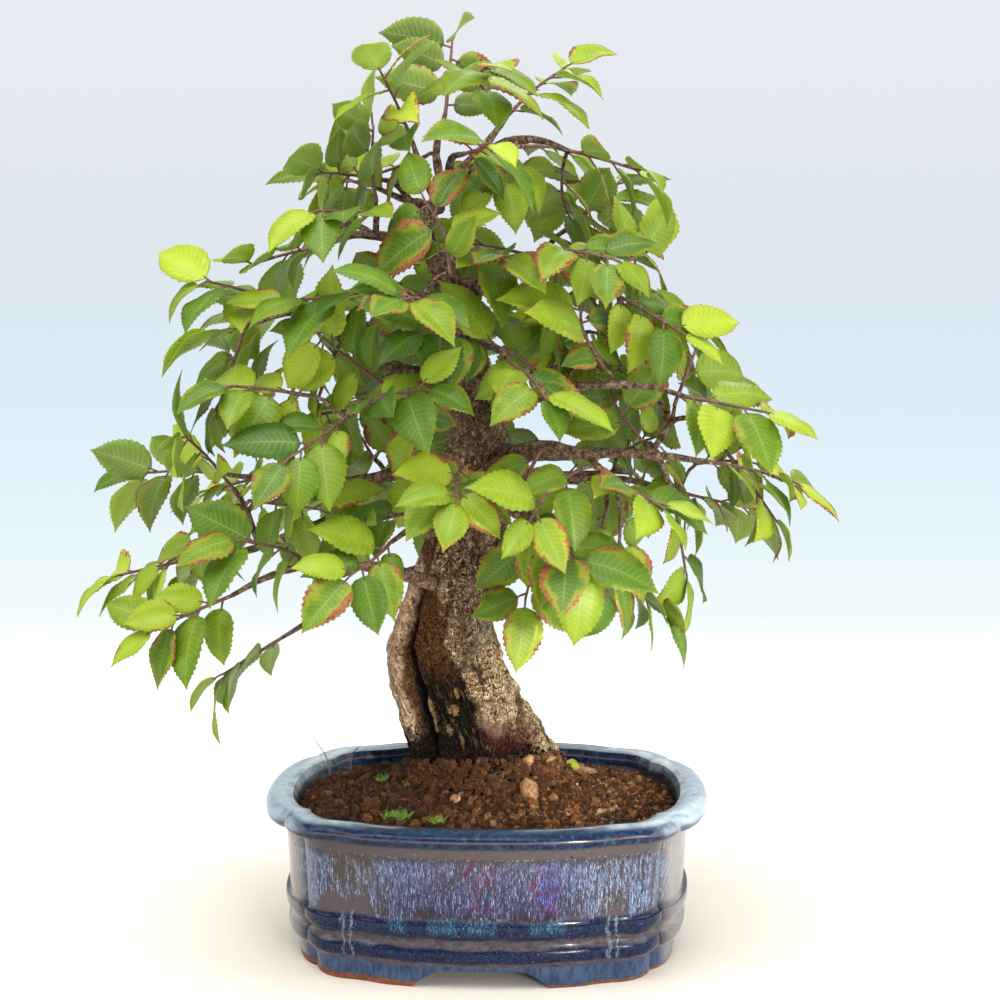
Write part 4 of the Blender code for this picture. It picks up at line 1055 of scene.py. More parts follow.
class Bark(Tree):
    """The wood's material, with the noises that its parts share."""

    def __init__(self):
        super().__init__("hornbeam_bark")
        self.z = self.axis("Z")
        self.fibres = self.noise(0.42, 6.0, 0.70, 2.6, 0.65)
        self.pits = self.noise(0.52, 4.0, 0.68, 0.8)
        self.patches = self.noise(0.075, 5.0, 0.62)
        self.grain = self.noise(0.62, 6.0, 0.68, 0.5, place=self.leaning(WOOD_LEAN, 0.22))
        self.gaps = self.flakes(0.36, 7.0, 0.8)

    def old(self):
        """Fibrous tan bark with dark pits and gaps, browner beside the rot, a pale strip on the left, and
        painted highlight on its raised relief with painted shade in its hollows.
        """
        fibres, pits, relief, left = self.fibres, self.pits, self.mark("relief"), self.mark("left")
        tan = self.ramp(fibres, (0.39, (0.075, 0.036, 0.017)), (0.45, (0.30, 0.165, 0.080)),
                        (0.51, (0.66, 0.46, 0.260)), (0.59, (0.97, 0.82, 0.57)))
        strip = self.ramp((self.grain + fibres) * 0.5, (0.39, (0.15, 0.062, 0.029)),
                          (0.48, (0.58, 0.36, 0.21)), (0.57, (0.94, 0.74, 0.53)))
        strip = self.coat(strip, (pits.band(0.46, 0.40) * 0.75, (0.10, 0.055, 0.032)))
        rusty = self.ramp(fibres, (0.42, (0.050, 0.019, 0.009)), (0.53, (0.15, 0.055, 0.020)),
                          (0.66, (0.36, 0.17, 0.075)))
        return self.coat(
            tan, (self.patches.band(0.50, 0.38) * 0.45, (0.26, 0.125, 0.060)),
            (self.noise(0.50, 3.0, 0.60, 3.6).band(0.55, 0.62) * 0.45, (0.86, 0.72, 0.50)),
            (self.mark("front") * fibres.band(0.58, 0.47) * 0.75, (0.20, 0.085, 0.030)),
            (self.gaps.band(0.12, 0.02) * 0.70, (0.080, 0.036, 0.015)),
            (self.noise(0.085, 4.0).band(0.53, 0.66) * 0.30, (0.27, 0.27, 0.10)),
            (pits.band(0.46, 0.41) * 0.90, (0.040, 0.018, 0.008)),
            # painted highlight on the raised relief, then painted shade in its hollows
            (relief.band(0.15, 0.70) * 0.22, (0.90, 0.76, 0.54)),
            (relief.band(-0.14, -0.60) * 0.85, (0.042, 0.019, 0.009)), (left.band(0.05, 0.35), strip),
            (left.stripe(0.01, 0.10, 0.32, 0.56) * 0.90, rusty))

    def rotten(self):
        """Dark rotten wood, browner towards its top, with tan knots."""
        brighter = self.z.band(*BRIGHT_ROT) * 0.05
        black = self.ramp(self.grain + brighter, (0.47, (0.005, 0.0035, 0.002)),
                          (0.56, (0.022, 0.014, 0.006)), (0.65, (0.11, 0.074, 0.033)),
                          (0.76, (0.34, 0.23, 0.11)))
        browner = self.ramp(self.fibres, (0.42, (0.024, 0.010, 0.004)), (0.54, (0.13, 0.055, 0.018)),
                            (0.68, (0.36, 0.20, 0.09)))
        tan = self.ramp(self.grain, (0.40, (0.15, 0.082, 0.034)), (0.60, (0.44, 0.28, 0.13)))
        rot = self.coat(black, (self.z.band(*BROWN_ROT) * 0.68, browner))
        x, ragged = self.across(), (self.pits - 0.5) * 3.4
        for knot_x, knot_z, half_x, half_z in KNOTS:
            up = self.z - knot_z
            out = (x - knot_x) - up * KNOT_LEAN
            away = self.add("ShaderNodeCombineXYZ", {0: out * (1 / half_x), 1: up * (1 / half_z)})
            reach = self.add("ShaderNodeVectorMath", {0: away}, "Value", operation="LENGTH")
            inside = (reach + ragged).band(1.05, 0.80) * (0.45 + self.pits.band(0.42, 0.52))
            rot = self.coat(rot, (inside, tan))
        return rot


def bark_material():
    """Old bark, rotten wood in front with painted shade deep in its cleft, a dark foot with a wine red patch,
    and brown young limbs.
    """
    tree = Bark()
    fibres, foot = tree.fibres, tree.mark("foot")
    young = tree.ramp(tree.noise(0.36, 5.0, 0.68), (0.36, (0.075, 0.037, 0.025)),
                      (0.48, (0.21, 0.120, 0.078)), (0.62, (0.50, 0.35, 0.25)))
    dark = tree.ramp(fibres, (0.44, (0.004, 0.0025, 0.0015)), (0.57, (0.020, 0.011, 0.007)),
                     (0.72, (0.15, 0.085, 0.050)))
    uneven = ((fibres + tree.patches) * 0.5 - 0.5) * 4.5
    colour = tree.coat(
        tree.old(), (tree.mark("thin"), young), (tree.mark("hollow"), tree.rotten()),
        # painted shade: near black deep in the cleft
        (tree.mark("depth").band(0.34, 0.80), (0.007, 0.005, 0.004)),
        ((foot - uneven).band(0.12, 0.80) * foot.band(0.0, 0.15), dark),
        (tree.mark("wine") * fibres.band(0.45, 0.54) * 0.85, (0.10, 0.020, 0.017)))
    rise = (fibres + tree.gaps.band(0.0, 0.2)) * 0.8 + (tree.pits + tree.grain * 0.6)
    return tree.finish(colour, 0.86, tree.bump(rise, 2.2), {"Specular IOR Level": 0.05})


def twig_material():
    """Reddish brown shoots with paler flecks."""
    tree = Tree("hornbeam_shoot")
    colour = tree.ramp(tree.noise(0.8, 4.0, 0.65), (0.32, (0.045, 0.018, 0.013)),
                       (0.55, (0.14, 0.058, 0.036)), (0.74, (0.30, 0.165, 0.105)))
    return tree.finish(colour, 0.62, tree.bump(tree.noise(1.4), 0.25, 0.6))


def leaf_material():
    """A pleated green blade: pale veins, paler below, yellow and then brown here and there at its edge."""
    tree = Tree("hornbeam_leaf")
    vein, edge = tree.mark("vein"), tree.mark("edge")
    shade = tree.mark("tone") + (tree.noise(0.16) - 0.5) * 0.40
    green = tree.ramp(shade, (0.0, (0.056, 0.134, 0.013)), (0.28, (0.138, 0.246, 0.016)),
                      (0.60, (0.325, 0.440, 0.021)), (1.0, (0.54, 0.65, 0.045)))
    green = tree.coat(green, (vein.band(0.62, 0.10) * 0.32, tree.coat(green, (0.5, (0.020, 0.060, 0.010)))))
    ribs = edge.band(0.06, 0.015) | vein.band(0.82, 1.0) * 0.40
    lower = tree.coat(green, (0.5, (0.34, 0.44, 0.16)), (ribs * 0.75, (0.60, 0.68, 0.36)))
    upper = tree.coat(green, (ribs * 0.36, (0.50, 0.62, 0.20)))
    reach = edge + (tree.noise(0.095, 5.0, 0.62) - 0.5) * 1.9 + tree.mark("scorch")
    burnt = reach.band(1.06, 1.16)
    brown = tree.ramp(tree.noise(0.8), (0.35, (0.22, 0.070, 0.020)), (0.65, (0.56, 0.27, 0.10)))
    colour = tree.coat(upper, (tree.mark("under"), lower),
                       (reach.band(0.62, 1.05) * 0.50, (0.50, 0.48, 0.030)), (burnt, brown))
    tree.finish(colour, 0.38, tree.bump(tree.noise(1.7), 0.12, 0.5), {"Specular IOR Level": 0.30})
    through = tree.coat(upper, (0.5, (0.52, 0.69, 0.050)), (burnt, (0.45, 0.14, 0.03)))
    return tree.blend(0.42, tree.add("ShaderNodeBsdfTranslucent", {"Color": through}))


def plain_material(name, low, high, scale, roughness, relief=0.2):
    """Two shades mixed by noise."""
    tree = Tree(name)
    mottle = tree.noise(scale, 4.0, 0.6)
    colour = tree.ramp(mottle, (0.32, low), (0.68, high))
    return tree.finish(colour, roughness, tree.bump(mottle, relief, 0.7))


def fine_outline(angle):
    """The rim's outline with its notches and creases a little softened."""
    folded = math.atan2(abs(math.sin(angle)), abs(math.cos(angle)))
    from_notch = abs(folded - math.atan2(RIM_NOTCH[1], RIM_NOTCH[0]))
    soft = min(math.radians(3.5), math.radians(0.5) + 0.6 * from_notch)
    turns = [soft * share for share in (-1.0, -0.5, 0.0, 0.5, 1.0)]
    return sum((rim_point(angle + turn) for turn in turns), Vector((0.0, 0.0))) / len(turns)


def inset_point(point, inset):
    """Plan place of an outline's point on the ring at this inset from the rim."""
    return point.x * (1 - inset / RIM_END), point.y * (1 - inset / RIM_FRONT)


def fine_angles():
    """Even angles round the pot, with the nearest ones moved onto the notches and creases."""
    angles = [math.tau * k / POT_SIDES for k in range(POT_SIDES)]
    for x, y in (RIM_NOTCH, RIM_CREASE):
        stop = math.atan2(y, x)
        for angle in (stop, math.pi - stop, math.pi + stop, math.tau - stop):
            angles[round(angle / math.tau * POT_SIDES)] = angle
    return angles


def fine_profile():
    """The pot's section in small steps, rounded from the lip to the foot and straight elsewhere."""
    first, last = POT_RINGS.index((13.0, 75.4)), POT_RINGS.index((14.4, 10.2))
    rounded = smooth_route([(inset, 0, height) for inset, height in POT_RINGS[first:last + 1]], POT_STEP)
    section = [(point.x, point.z) for point in rounded]
    foot = [(FOOT_RING[0] - 0.4, 0.8), (FOOT_RING[0], 0.0), (FOOT_RING[1], 0.0)]
    wall = [(inner_wall_inset(FLOOR_TOP + rise), FLOOR_TOP + rise) for rise in WALL_RISES]
    return wall + [POT_WALL_TOP] + section + foot + [POT_RINGS[-1]]


def boolean_cut(target, tools):
    for tool in tools:
        step = target.modifiers.new("cut", "BOOLEAN")
        step.object, step.operation, step.solver = tool, "DIFFERENCE", "EXACT"
    bpy.context.view_layer.update()
    cut = bpy.data.meshes.new_from_object(target.evaluated_get(bpy.context.evaluated_depsgraph_get()))
    target.modifiers.clear()
    target.data = cut
    for tool in tools:
        bpy.data.objects.remove(tool)


def cutter(rings):
    tool = mesh_object("cutter", *shell(rings))
    outward_faces(tool)
    return tool


def arch_cutter(widths, reach, turn):
    """The part's arch through the foot ring, with its upper corners rounded."""
    top, bottom = widths[0] / 2, widths[1] / 2
    half = [(bottom, -2.0), (bottom - 1.5, 0.6), (top + 5.5, 4.6), (top + 1.6, 7.2), (top - 2.5, ARCH_TOP)]
    section = half + [(-x, z) for x, z in reversed(half)]
    rotation = Matrix.Rotation(turn, 3, "Z")
    return cutter([[rotation @ Vector((x, end * reach, z)) for x, z in section] for end in (-1, 1)])


def round_cutter(centre_x, radius, heights):
    turns = [math.tau * k / DRAIN_SIDES for k in range(DRAIN_SIDES)]
    return cutter([[Vector((centre_x + radius * math.cos(turn), radius * math.sin(turn), height))
                    for turn in turns] for height in heights])


def make_fine_pot():
    outline = [fine_outline(angle) for angle in fine_angles()]
    rings = [[(*inset_point(point, inset), height) for point in outline] for inset, height in fine_profile()]
    pot = new_piece("glazed_pot", *shell(rings), glaze_material(), "glaze", ["pot"])
    outward_faces(pot)
    tools = [arch_cutter(LONG_ARCH, RIM_FRONT + 5, 0.0), arch_cutter(END_ARCH, RIM_END + 5, math.pi / 2)]
    tools += [round_cutter(side * DRAIN_X, DRAIN_RADIUS, (UNDERSIDE - 3, FLOOR_TOP + 3)) for side in (-1, 1)]
    boolean_cut(pot, tools)
    pot.data.shade_smooth()
    sharpen(pot, POT_CREASE)


def make_nets():
    """Woven net over the drain holes, under the soil."""
    plastic = plain_material("black_net", (0.012, 0.012, 0.012), (0.028, 0.028, 0.028), 0.8, 0.55)
    low = FLOOR_TOP + GAP
    half, thread = NET_SIDE / 2, NET_THREAD / 2
    for name, side in (("left", -1), ("right", 1)):
        heap = Heap()
        for k in range(NET_THREADS):
            shift = thread - half + k * (NET_SIDE - NET_THREAD) / (NET_THREADS - 1)
            for half_x, half_y, x, y in ((half, thread, 0, shift), (thread, half, shift, 0)):
                heap.add(*shell([[Vector((side * DRAIN_X + x + sx * half_x, y + sy * half_y, z))
                                  for sx, sy in ((-1, -1), (1, -1), (1, 1), (-1, 1))]
                                 for z in (low, low + NET_THICKNESS)]))
        net = heap.piece(f"drain_net_{name}", plastic, "net", [f"drain_mesh_{name}"])
        net.data.shade_flat()
        outward_faces(net)


def inner_reach(angle, height, gap):
    """How far the soil reaches in a direction."""
    return Vector(inset_point(fine_outline(angle), inner_wall_inset(height) + gap))


def mound_height(x, y):
    distance = math.hypot(x - ROOT_CENTRE[0], (y - ROOT_CENTRE[1]) * RIM_END / RIM_FRONT)
    return SOIL_RIM_HEIGHT + SOIL_MOUND * math.exp(-(distance / SOIL_MOUND_REACH) ** 2)


def make_soil_bed():
    """The dark bed that the granules lie on, closed, with the trunk standing in it."""
    bottom = FLOOR_TOP + NET_THICKNESS + 2 * GAP
    angles = [math.tau * k / BED_SIDES for k in range(BED_SIDES)]
    rings = [[Vector((*inner_reach(angle, bottom, GAP), bottom)) for angle in angles]]
    for step in range(BED_STEPS + 1):
        ring = []
        for angle in angles:
            outer, inner = inner_reach(angle, SOIL_RIM_HEIGHT, GAP), root_point(angle, -3.0, 0.0)
            x, y = (outer[k] + (inner[k] - outer[k]) * (step / BED_STEPS) for k in range(2))
            lump = 0.7 * noise.noise(Vector((x / 4, y / 4, 3.0)))
            ring.append(Vector((x, y, mound_height(x, y) - BED_DEPTH + lump)))
        rings.append(ring)
    surface = plain_material("damp_soil", (0.014, 0.008, 0.005), (0.055, 0.027, 0.014), 0.7, 0.95, 0.8)
    outward_faces(new_piece("soil_bed", *shell(rings), surface, "soil", ["soil"]))


def unit_sphere(cuts):
    work = bmesh.new()
    bmesh.ops.create_icosphere(work, subdivisions=cuts, radius=1.0)
    points = np.array([v.co[:] for v in work.verts])
    faces = [[v.index for v in face.verts] for face in work.faces]
    work.free()
    return points, faces


def three(draw, low, high):
    """Three draws from one range."""
    return [draw.uniform(low, high) for _ in range(3)]


def lumpy(points, draw, amount):
    """The same points pushed in and out into a rough pebble."""
    offset = Vector(three(draw, 0, 90))
    push = np.array([1 + amount * noise.noise(Vector(p) * 1.3 + offset) for p in points])
    angle = draw.uniform(0, math.tau)
    turn = np.array(Matrix.Rotation(angle, 3, Vector(three(draw, -1, 1)).normalized()))
    return (points * push[:, None] * np.array(three(draw, 0.8, 1.2))) @ turn.T


def chipped(points, draw, cuts):
    """The same points with flat faces struck off all round."""
    for _ in range(cuts):
        facing = np.array(Vector([draw.gauss(0, 1) for _ in range(3)]).normalized())
        over = np.maximum(points @ facing - draw.uniform(0.50, 0.85), 0)
        points = points - over[:, None] * facing
    return points


def in_soil(x, y, margin):
    reach = inner_reach(math.atan2(y, x), SOIL_RIM_HEIGHT, margin).length
    across, along = x - ROOT_CENTRE[0], y - ROOT_CENTRE[1]
    root = root_point(math.atan2(along, across), 0.0, 0.0)
    root_reach = math.hypot(root.x - ROOT_CENTRE[0], root.y - ROOT_CENTRE[1])
    return math.hypot(x, y) < reach and math.hypot(across, along) > root_reach - 1


def add_foot_grains(heap, sphere):
    """Granules that climb a little way up the front of the trunk's foot."""
    draw = random.Random(70)
    rows, peak = np.array(TRUNK_SECTIONS[:3]), math.radians(FOOT_GRAIN_PEAK)
    shape, faces = sphere
    for _ in range(FOOT_GRAINS):
        angle, climb = math.radians(draw.uniform(*FOOT_GRAIN_ANGLES)), draw.random() ** 1.5
        z = FOOT_GRAIN_LEVEL + FOOT_GRAIN_CLIMB * climb * (0.7 + 0.3 * math.cos(angle - peak))
        centre_x, centre_y, half_x, half_y = (np.interp(z, rows[:, 0], rows[:, k]) for k in range(1, 5))
        out = 1.02 + 0.05 * (1 - climb) + draw.uniform(-0.02, 0.03)
        x, y = centre_x + half_x * out * math.cos(angle), centre_y + half_y * out * math.sin(angle)
        grain = lumpy(shape, draw, GRAIN_LUMPS) * draw.uniform(*FOOT_GRAIN_RADII)
        heap.add(grain + np.array((x, y, z)), faces, tone=0.8 * draw.random() ** 1.3)


def make_grains():
    """Granules over the whole soil, the large ones first, then ever smaller ones in the gaps."""
    draw = random.Random(7)
    large, small = unit_sphere(2), unit_sphere(1)
    grid, heap = {}, Heap()
    cell, made, tries = 2 * GRAIN_RADII[1], 0, 0
    while made < GRAIN_COUNT and tries < GRAIN_TRIES:
        tries += 1
        x, y = (draw.uniform(-half, half) for half in GRAIN_HALVES)
        shrink = min(1.0, 3.2 * made / GRAIN_COUNT) ** 0.5 * draw.uniform(0.75, 1)
        radius = GRAIN_RADII[1] - (GRAIN_RADII[1] - GRAIN_RADII[0]) * shrink
        radius *= 1.08 - 0.20 * clamp((x + 20) / 90)
        if not in_soil(x, y, radius * 0.8):
            continue
        column, row = int(x // cell), int(y // cell)
        near = [g for i in (-1, 0, 1) for j in (-1, 0, 1) for g in grid.get((column + i, row + j), ())]
        if any(math.hypot(x - gx, y - gy) < GRAIN_CLOSENESS * (radius + r) for gx, gy, r in near):
            continue
        grid.setdefault((column, row), []).append((x, y, radius))
        shape, faces = large if radius > ROUND_GRAIN else small
        rise = mound_height(x, y) - GRAIN_SINK + radius * 0.35 + draw.uniform(-0.5, 0.6)
        grain = chipped(lumpy(shape, draw, GRAIN_LUMPS), draw, GRAIN_CHIPS) * radius
        # the tone rises towards the right as painted light, on top of each granule's own random tone
        heap.add(grain + np.array((x, y, rise)), faces, tone=max(0.0, draw.random() ** 1.3 + 0.14 * x / 80))
        made += 1
    add_foot_grains(heap, small)
    heap.piece("soil_granules", grain_material(), "soil").data.shade_flat()


def fine_sections():
    """The trunk's sections at even steps, with the changes between them smoothed."""
    rows = np.array([(PLUG_FOOT, *TRUNK_SECTIONS[0][1:])] + TRUNK_SECTIONS)
    heights = np.arange(rows[0, 0], rows[-1, 0] + 0.01, TRUNK_FINE_STEP)
    window = np.ones(13) / 13
    columns = [np.interp(heights, rows[:, 0], rows[:, k]) for k in range(1, 5)]
    smooth = [np.convolve(np.pad(column, 6, mode="edge"), window, mode="valid") for column in columns]
    return list(zip(heights, *smooth))


def rot_depth(angle, height):
    """Depth of the cleft in the trunk's front left, and share of rotten wood in it and to its right."""
    low, high = HOLLOW_SPAN[0] - ROT_BEYOND[0], HOLLOW_SPAN[1] + ROT_BEYOND[1]
    if not low < height < high:
        return 0.0, 0.0
    along = math.sin(math.pi * (height - low) / (high - low)) ** 0.4
    sway = 0.10 * math.sin(height / 11) + 0.05 * math.sin(height / 4.3)
    deep = (angle - HOLLOW_ANGLE + sway + math.pi) % math.tau - math.pi
    cleft = math.exp(-(deep / (0.13 + 0.05 * noise.noise(Vector((height / 6, 8.0, 1.0))))) ** 2)
    ragged = deep + 0.16 * noise.noise(Vector((height / 8, 3.0, angle)))
    widest, narrowest = ROT_WIDTH
    start, narrowing = ROT_NARROWS
    width = widest if height < start else max(narrowest, widest - narrowing * (height - start))
    beside = clamp(ragged / 0.10) * clamp((width - ragged) / 0.12)
    return along * cleft, along * max(cleft, beside)


def bark_marks(angle, height):
    """Shares of the pale left strip, of old bark near the rot, of the dark foot and of the wine red patch."""
    front = (angle + math.pi / 2 + math.pi) % math.tau - math.pi
    ragged = 0.10 * noise.noise(Vector((height / 9, angle * 2, 5.0)))
    side = front + ragged
    left = clamp((height - STRIP_SPAN[0]) / 14) * clamp((STRIP_SPAN[1] - height) / 20)
    left *= clamp((STRIP_EDGES[1] - side) / 0.48) * clamp((side - STRIP_EDGES[0]) / 0.2)
    level = height + 4.5 * noise.noise(Vector((height / 5, angle * 7, 2.0)))
    foot_top = FOOT_TOP - 11 * clamp((front - 0.95) / 0.35) - 14 * clamp((-1.9 - front) / 0.4)
    wine = clamp((front - WINE_EDGES[0]) / 0.2) * clamp((WINE_EDGES[1] - front) / 0.2)
    wine *= clamp((level - WINE_SPAN[0]) / 4) * clamp((WINE_SPAN[1] - level) / 4)
    near_rot = clamp((0.95 + ragged - front) / 0.5) if front > -0.6 else 0.0
    return {"left": left, "foot": clamp((foot_top - level) / FOOT_FADE), "wine": wine, "front": near_rot}


def trunk_relief(x, y, z):
    """Rough bark: upright cords, plates and fine grain, from about -1 to 1."""
    cords = 1 - 2 * abs(noise.noise(Vector((x / 7.5, y / 7.5, z / 42))))
    plates = noise.fractal(Vector((x / 6, y / 6, z / 14 + 7)), 0.7, 2.1, 4)
    fine = noise.noise(Vector((x / 1.9, y / 1.9, z / 4.5 + 3)))
    return 0.55 * (cords - 0.45) + 0.75 * plates + 0.18 * fine


def add_trunk(heap):
    sections = fine_sections()
    points, marks = [], []
    for height, x, y, half_x, half_y in sections:
        rough = min(1.0, half_x / 24) ** 1.3
        for k in range(TRUNK_FINE_SIDES):
            angle = math.tau * k / TRUNK_FINE_SIDES
            cleft, rotten = rot_depth(angle, height)
            swell = 1 + min(1.0, root_flare(height)) * root_swell(angle) - (0.26 * cleft + 0.085 * rotten)
            out_x, out_y = half_x * swell * math.cos(angle), half_y * swell * math.sin(angle)
            bumps = trunk_relief(x + out_x, y + out_y, height)
            push = 1 + 2.6 * rough * bumps / math.hypot(out_x, out_y)
            points.append((x + out_x * push, y + out_y * push, height))
            marks.append({"relief": bumps, "hollow": clamp(rotten * 1.5 + 0.3 * bumps * rotten),
                          "thin": clamp((height - YOUNG_BARK) / 60), "depth": cleft,
                          **bark_marks(angle, height)})
    heap.add(points, ring_faces(len(sections), TRUNK_FINE_SIDES),
             **{name: [mark[name] for mark in marks] for name in marks[0]})


def add_limb(heap, route, radii, sides, wobble=0.22):
    """One limb with lumps and slight bends in its bark, thinner towards its tip."""
    fine = smooth_route(route, LIMB_STEP)
    points = []
    for ring, middle in zip(tube(fine, radii, sides), fine):
        for point in ring:
            lump = noise.fractal(point / 4.5, 0.8, 2.0, 3)
            points.append(middle + (point - middle) * (1 + wobble * lump))
    heap.add(points, ring_faces(len(fine), sides), relief=0.2, thin=clamp((6.0 - radii[0]) / 2.4),
             **dict.fromkeys(("hollow", "depth", "left", "foot", "wine", "front"), 0.0))


def blade_layout():
    """Where every point of a blade lies along and across it, the same for all leaves."""
    place = np.linspace(0, 1, BLADE_STATIONS + 1)[:, None]
    across = np.array(BLADE_STRIPS)[None, :]
    share = place + VEIN_REACH * np.sin(math.pi * place) * np.abs(across)
    table = np.array(BLADE_OUTLINE)
    width = np.interp(share, table[:, 0], table[:, 1])
    odd = (np.arange(BLADE_STATIONS + 1) % 2)[:, None]
    at_edge = np.abs(across) == 1
    teeth = TOOTH * (1 - odd) * at_edge * np.minimum(1, width * 2)
    fall = np.where(np.abs(across) == 0, 0.0, np.where(at_edge, 0.6, 1.0))
    pleat = (2 * odd - 1) * fall * np.minimum(1, width * 1.5)
    wave = np.interp(share, [0, 0.20, 0.44, 0.74, 1], [0, 0.5, -0.4, 0.4, 0]) * across
    shares = np.minimum(1.0, share + 0.012 * (1 - odd) * at_edge * (place < 0.97))
    vein = np.where(across == 0, 1.0, 1.0 - odd) + 0 * place
    edge = np.maximum(np.abs(across) + 0 * place, (share - 0.80) / 0.20)
    return [array.ravel() for array in (shares, across * (width + teeth), pleat, wave, vein, edge)]


def blade_faces():
    """Quads of both faces of a blade and of its rim."""
    rows, strips = BLADE_STATIONS + 1, len(BLADE_STRIPS)
    under = rows * strips
    faces = []
    for i in range(rows - 1):
        for j in range(strips - 1):
            a, b = i * strips + j, (i + 1) * strips + j
            faces.append([a, a + 1, b + 1, b])
            faces.append([under + a, under + b, under + b + 1, under + a + 1])
        left, right = i * strips, i * strips + strips - 1
        faces.append([left, left + strips, under + left + strips, under + left])
        faces.append([right + strips, right, under + right, under + right + strips])
    end = (rows - 1) * strips
    for j in range(strips - 1):
        faces.append([j + 1, j, under + j, under + j + 1])
        faces.append([end + j, end + j + 1, under + end + j + 1, under + end + j])
    return faces


BLADE = blade_layout()
BLADE_FACES = blade_faces()


def leaf_tones(leaf, draw, young):
    """How yellow a leaf is, and how burnt: more to the left, the top and the right of the crown, where its
    paler tone is painted light.
    """
    x, z = leaf["base"].x, leaf["base"].z
    to_left, to_top, to_right = clamp((-x - 30) / 110), clamp((z - 290) / 110), clamp((x - 45) / 80)
    # the tone rises towards the crown's left, top and right as painted light; the random draws are the
    # leaves' own variation
    tone = draw.uniform(0.0, 0.58) + 0.60 * to_left * draw.random() ** 1.4 + 0.32 * to_top * draw.random()
    tone += to_right * draw.uniform(0.14, 0.42)
    tone += 0.18 * draw.random() if young else 0.0
    if draw.random() < 0.05:
        tone += 0.35
    return tone, draw.uniform(-0.62, 0.24) + 0.12 * (1 - to_left) + 0.05 * to_top


def add_blade(heap, leaf, draw, young):
    shares, across, pleat, wave, vein, edge = BLADE
    forward, facing = np.array(leaf["direction"]), np.array(leaf["facing"])
    length, half_width = leaf["length"], leaf["half_width"]
    bend = np.maximum(leaf["droop"] * shares, 1e-5)
    radius = length / leaf["droop"]
    start = np.array(leaf["base"]) + forward * PETIOLE_LENGTH
    middle = start + radius * (np.sin(bend)[:, None] * forward - (1 - np.cos(bend))[:, None] * facing)
    normal = np.cos(bend)[:, None] * facing + np.sin(bend)[:, None] * forward
    aside = across * half_width
    curl = draw.uniform(-0.10, 0.22)
    lift = leaf["wave"] * leaf["hand"] * wave + np.abs(aside) * leaf["fold"] - curl * aside ** 2 / half_width
    lift = lift + PLEAT * pleat * length / 29
    top = middle + np.cross(forward, facing) * aside[:, None] + normal * lift[:, None]
    points = np.concatenate([top + normal * BLADE_THICKNESS / 2, top - normal * BLADE_THICKNESS / 2])
    tone, scorch = leaf_tones(leaf, draw, young)
    heap.add(points, BLADE_FACES, tone=tone, scorch=scorch, vein=np.tile(vein, 2), edge=np.tile(edge, 2),
             under=np.repeat([0.0, 1.0], len(top)))


def add_petiole(heap, leaf):
    """A thin stalk from inside the shoot to the foot of the blade."""
    base, forward, facing = leaf["base"], leaf["direction"], leaf["facing"]
    stops = [base - forward * 0.4, base + forward * 2.0 + facing * 0.25,
             base + forward * (PETIOLE_LENGTH + 2.2) - facing * 0.12]
    heap.add(*shell(tube(stops, FINE_PETIOLE, 6)))


def add_shoot(heap, points):
    start = points[0] - (points[1] - points[0]).normalized() * 1.6
    fine = smooth_route([start] + points, 3.0)
    heap.add(*shell([[middle + (point - middle) * (1 + 0.25 * noise.noise(point / 2.2)) for point in ring]
                     for ring, middle in zip(tube(fine, FINE_SHOOT, 6), fine)]))


def add_spray(blades, stems, planned, number):
    points, leaves = planned
    draw = random.Random(50000 + number)
    add_shoot(stems, points)
    for k, leaf in enumerate(leaves):
        add_petiole(stems, leaf)
        add_blade(blades, leaf, draw, k >= len(leaves) - 2)


def make_crown():
    """Wood, shoots and leaves: the part's own first, then more twigs and leaves between them."""
    wood, stems, green = Heap(), Heap(), leaf_material()
    routes, tubes = plan_wood()
    add_trunk(wood)
    for radius, route in LIMBS.values():
        add_limb(wood, route, (radius, FINE_TIP), 12 if radius >= THICK_LIMB else 9)
    for route in routes[len(LIMBS):]:
        add_limb(wood, route, FINE_BRANCH, 8)
    solids = [tube_item(trunk_rings())] + [tube_item(rings) for rings in tubes]
    for number, route in enumerate(routes):
        planned = plan_spray(route[-1], (route[-1] - route[-2]).normalized(), number, solids)
        if planned:
            blades = Heap()
            add_spray(blades, stems, planned, number)
            blades.piece(f"leaves_{number:02d}", green, "leaf", [f"spray_{number:02d}"])
    add_twigs(wood, stems, routes, solids, green)
    stems.piece("shoots", twig_material(), "bark")
    wood.piece("trunk_and_limbs", bark_material(), "bark", ["wood"])


def wanted(point):
    """How much sooner a place in the middle of the crown gets a twig than one at its edge."""
    return 1.35 - 0.50 * min(1.0, (point - CROWN_MIDDLE).length / 120)


def add_twigs(wood, stems, routes, solids, green):
    """More leafy twigs, each in the emptiest place of the crown that it can reach."""
    places = [point for inset in EXTRA_INSETS for point in crown_points(inset)]
    middles = [spray_middle(route) for route in routes]
    knots = [point for route in routes for point in route[1:]]
    heaps = [Heap() for _ in range(EXTRA_PIECES)]
    made = 0
    while made < EXTRA_SPRAYS and places:
        target = max(places, key=lambda p: min((p - m).length for m in middles) * wanted(p))
        places.remove(target)
        route = arched_route(min(knots, key=lambda p: (p - target).length), target, TWIG_LEAST)
        free = [route[0].lerp(route[1], 0.6), route[1], route[2]]
        if not is_clear(tube_item(tube(free, TWIG_RADII, 4)), solids):
            continue
        number = EXTRA_FIRST_NUMBER + made
        planned = plan_spray(route[2], (route[2] - route[1]).normalized(), number, solids)
        if not planned or len(planned[1]) < EXTRA_LEAST_LEAVES:
            continue
        middles.append(target)
        add_limb(wood, route, FINE_TWIG, 7, 0.15)
        add_spray(heaps[made % EXTRA_PIECES], stems, planned, number)
        made += 1
    for k, heap in enumerate(heaps):
        heap.piece(f"inner_leaves_{k}", green, "leaf")


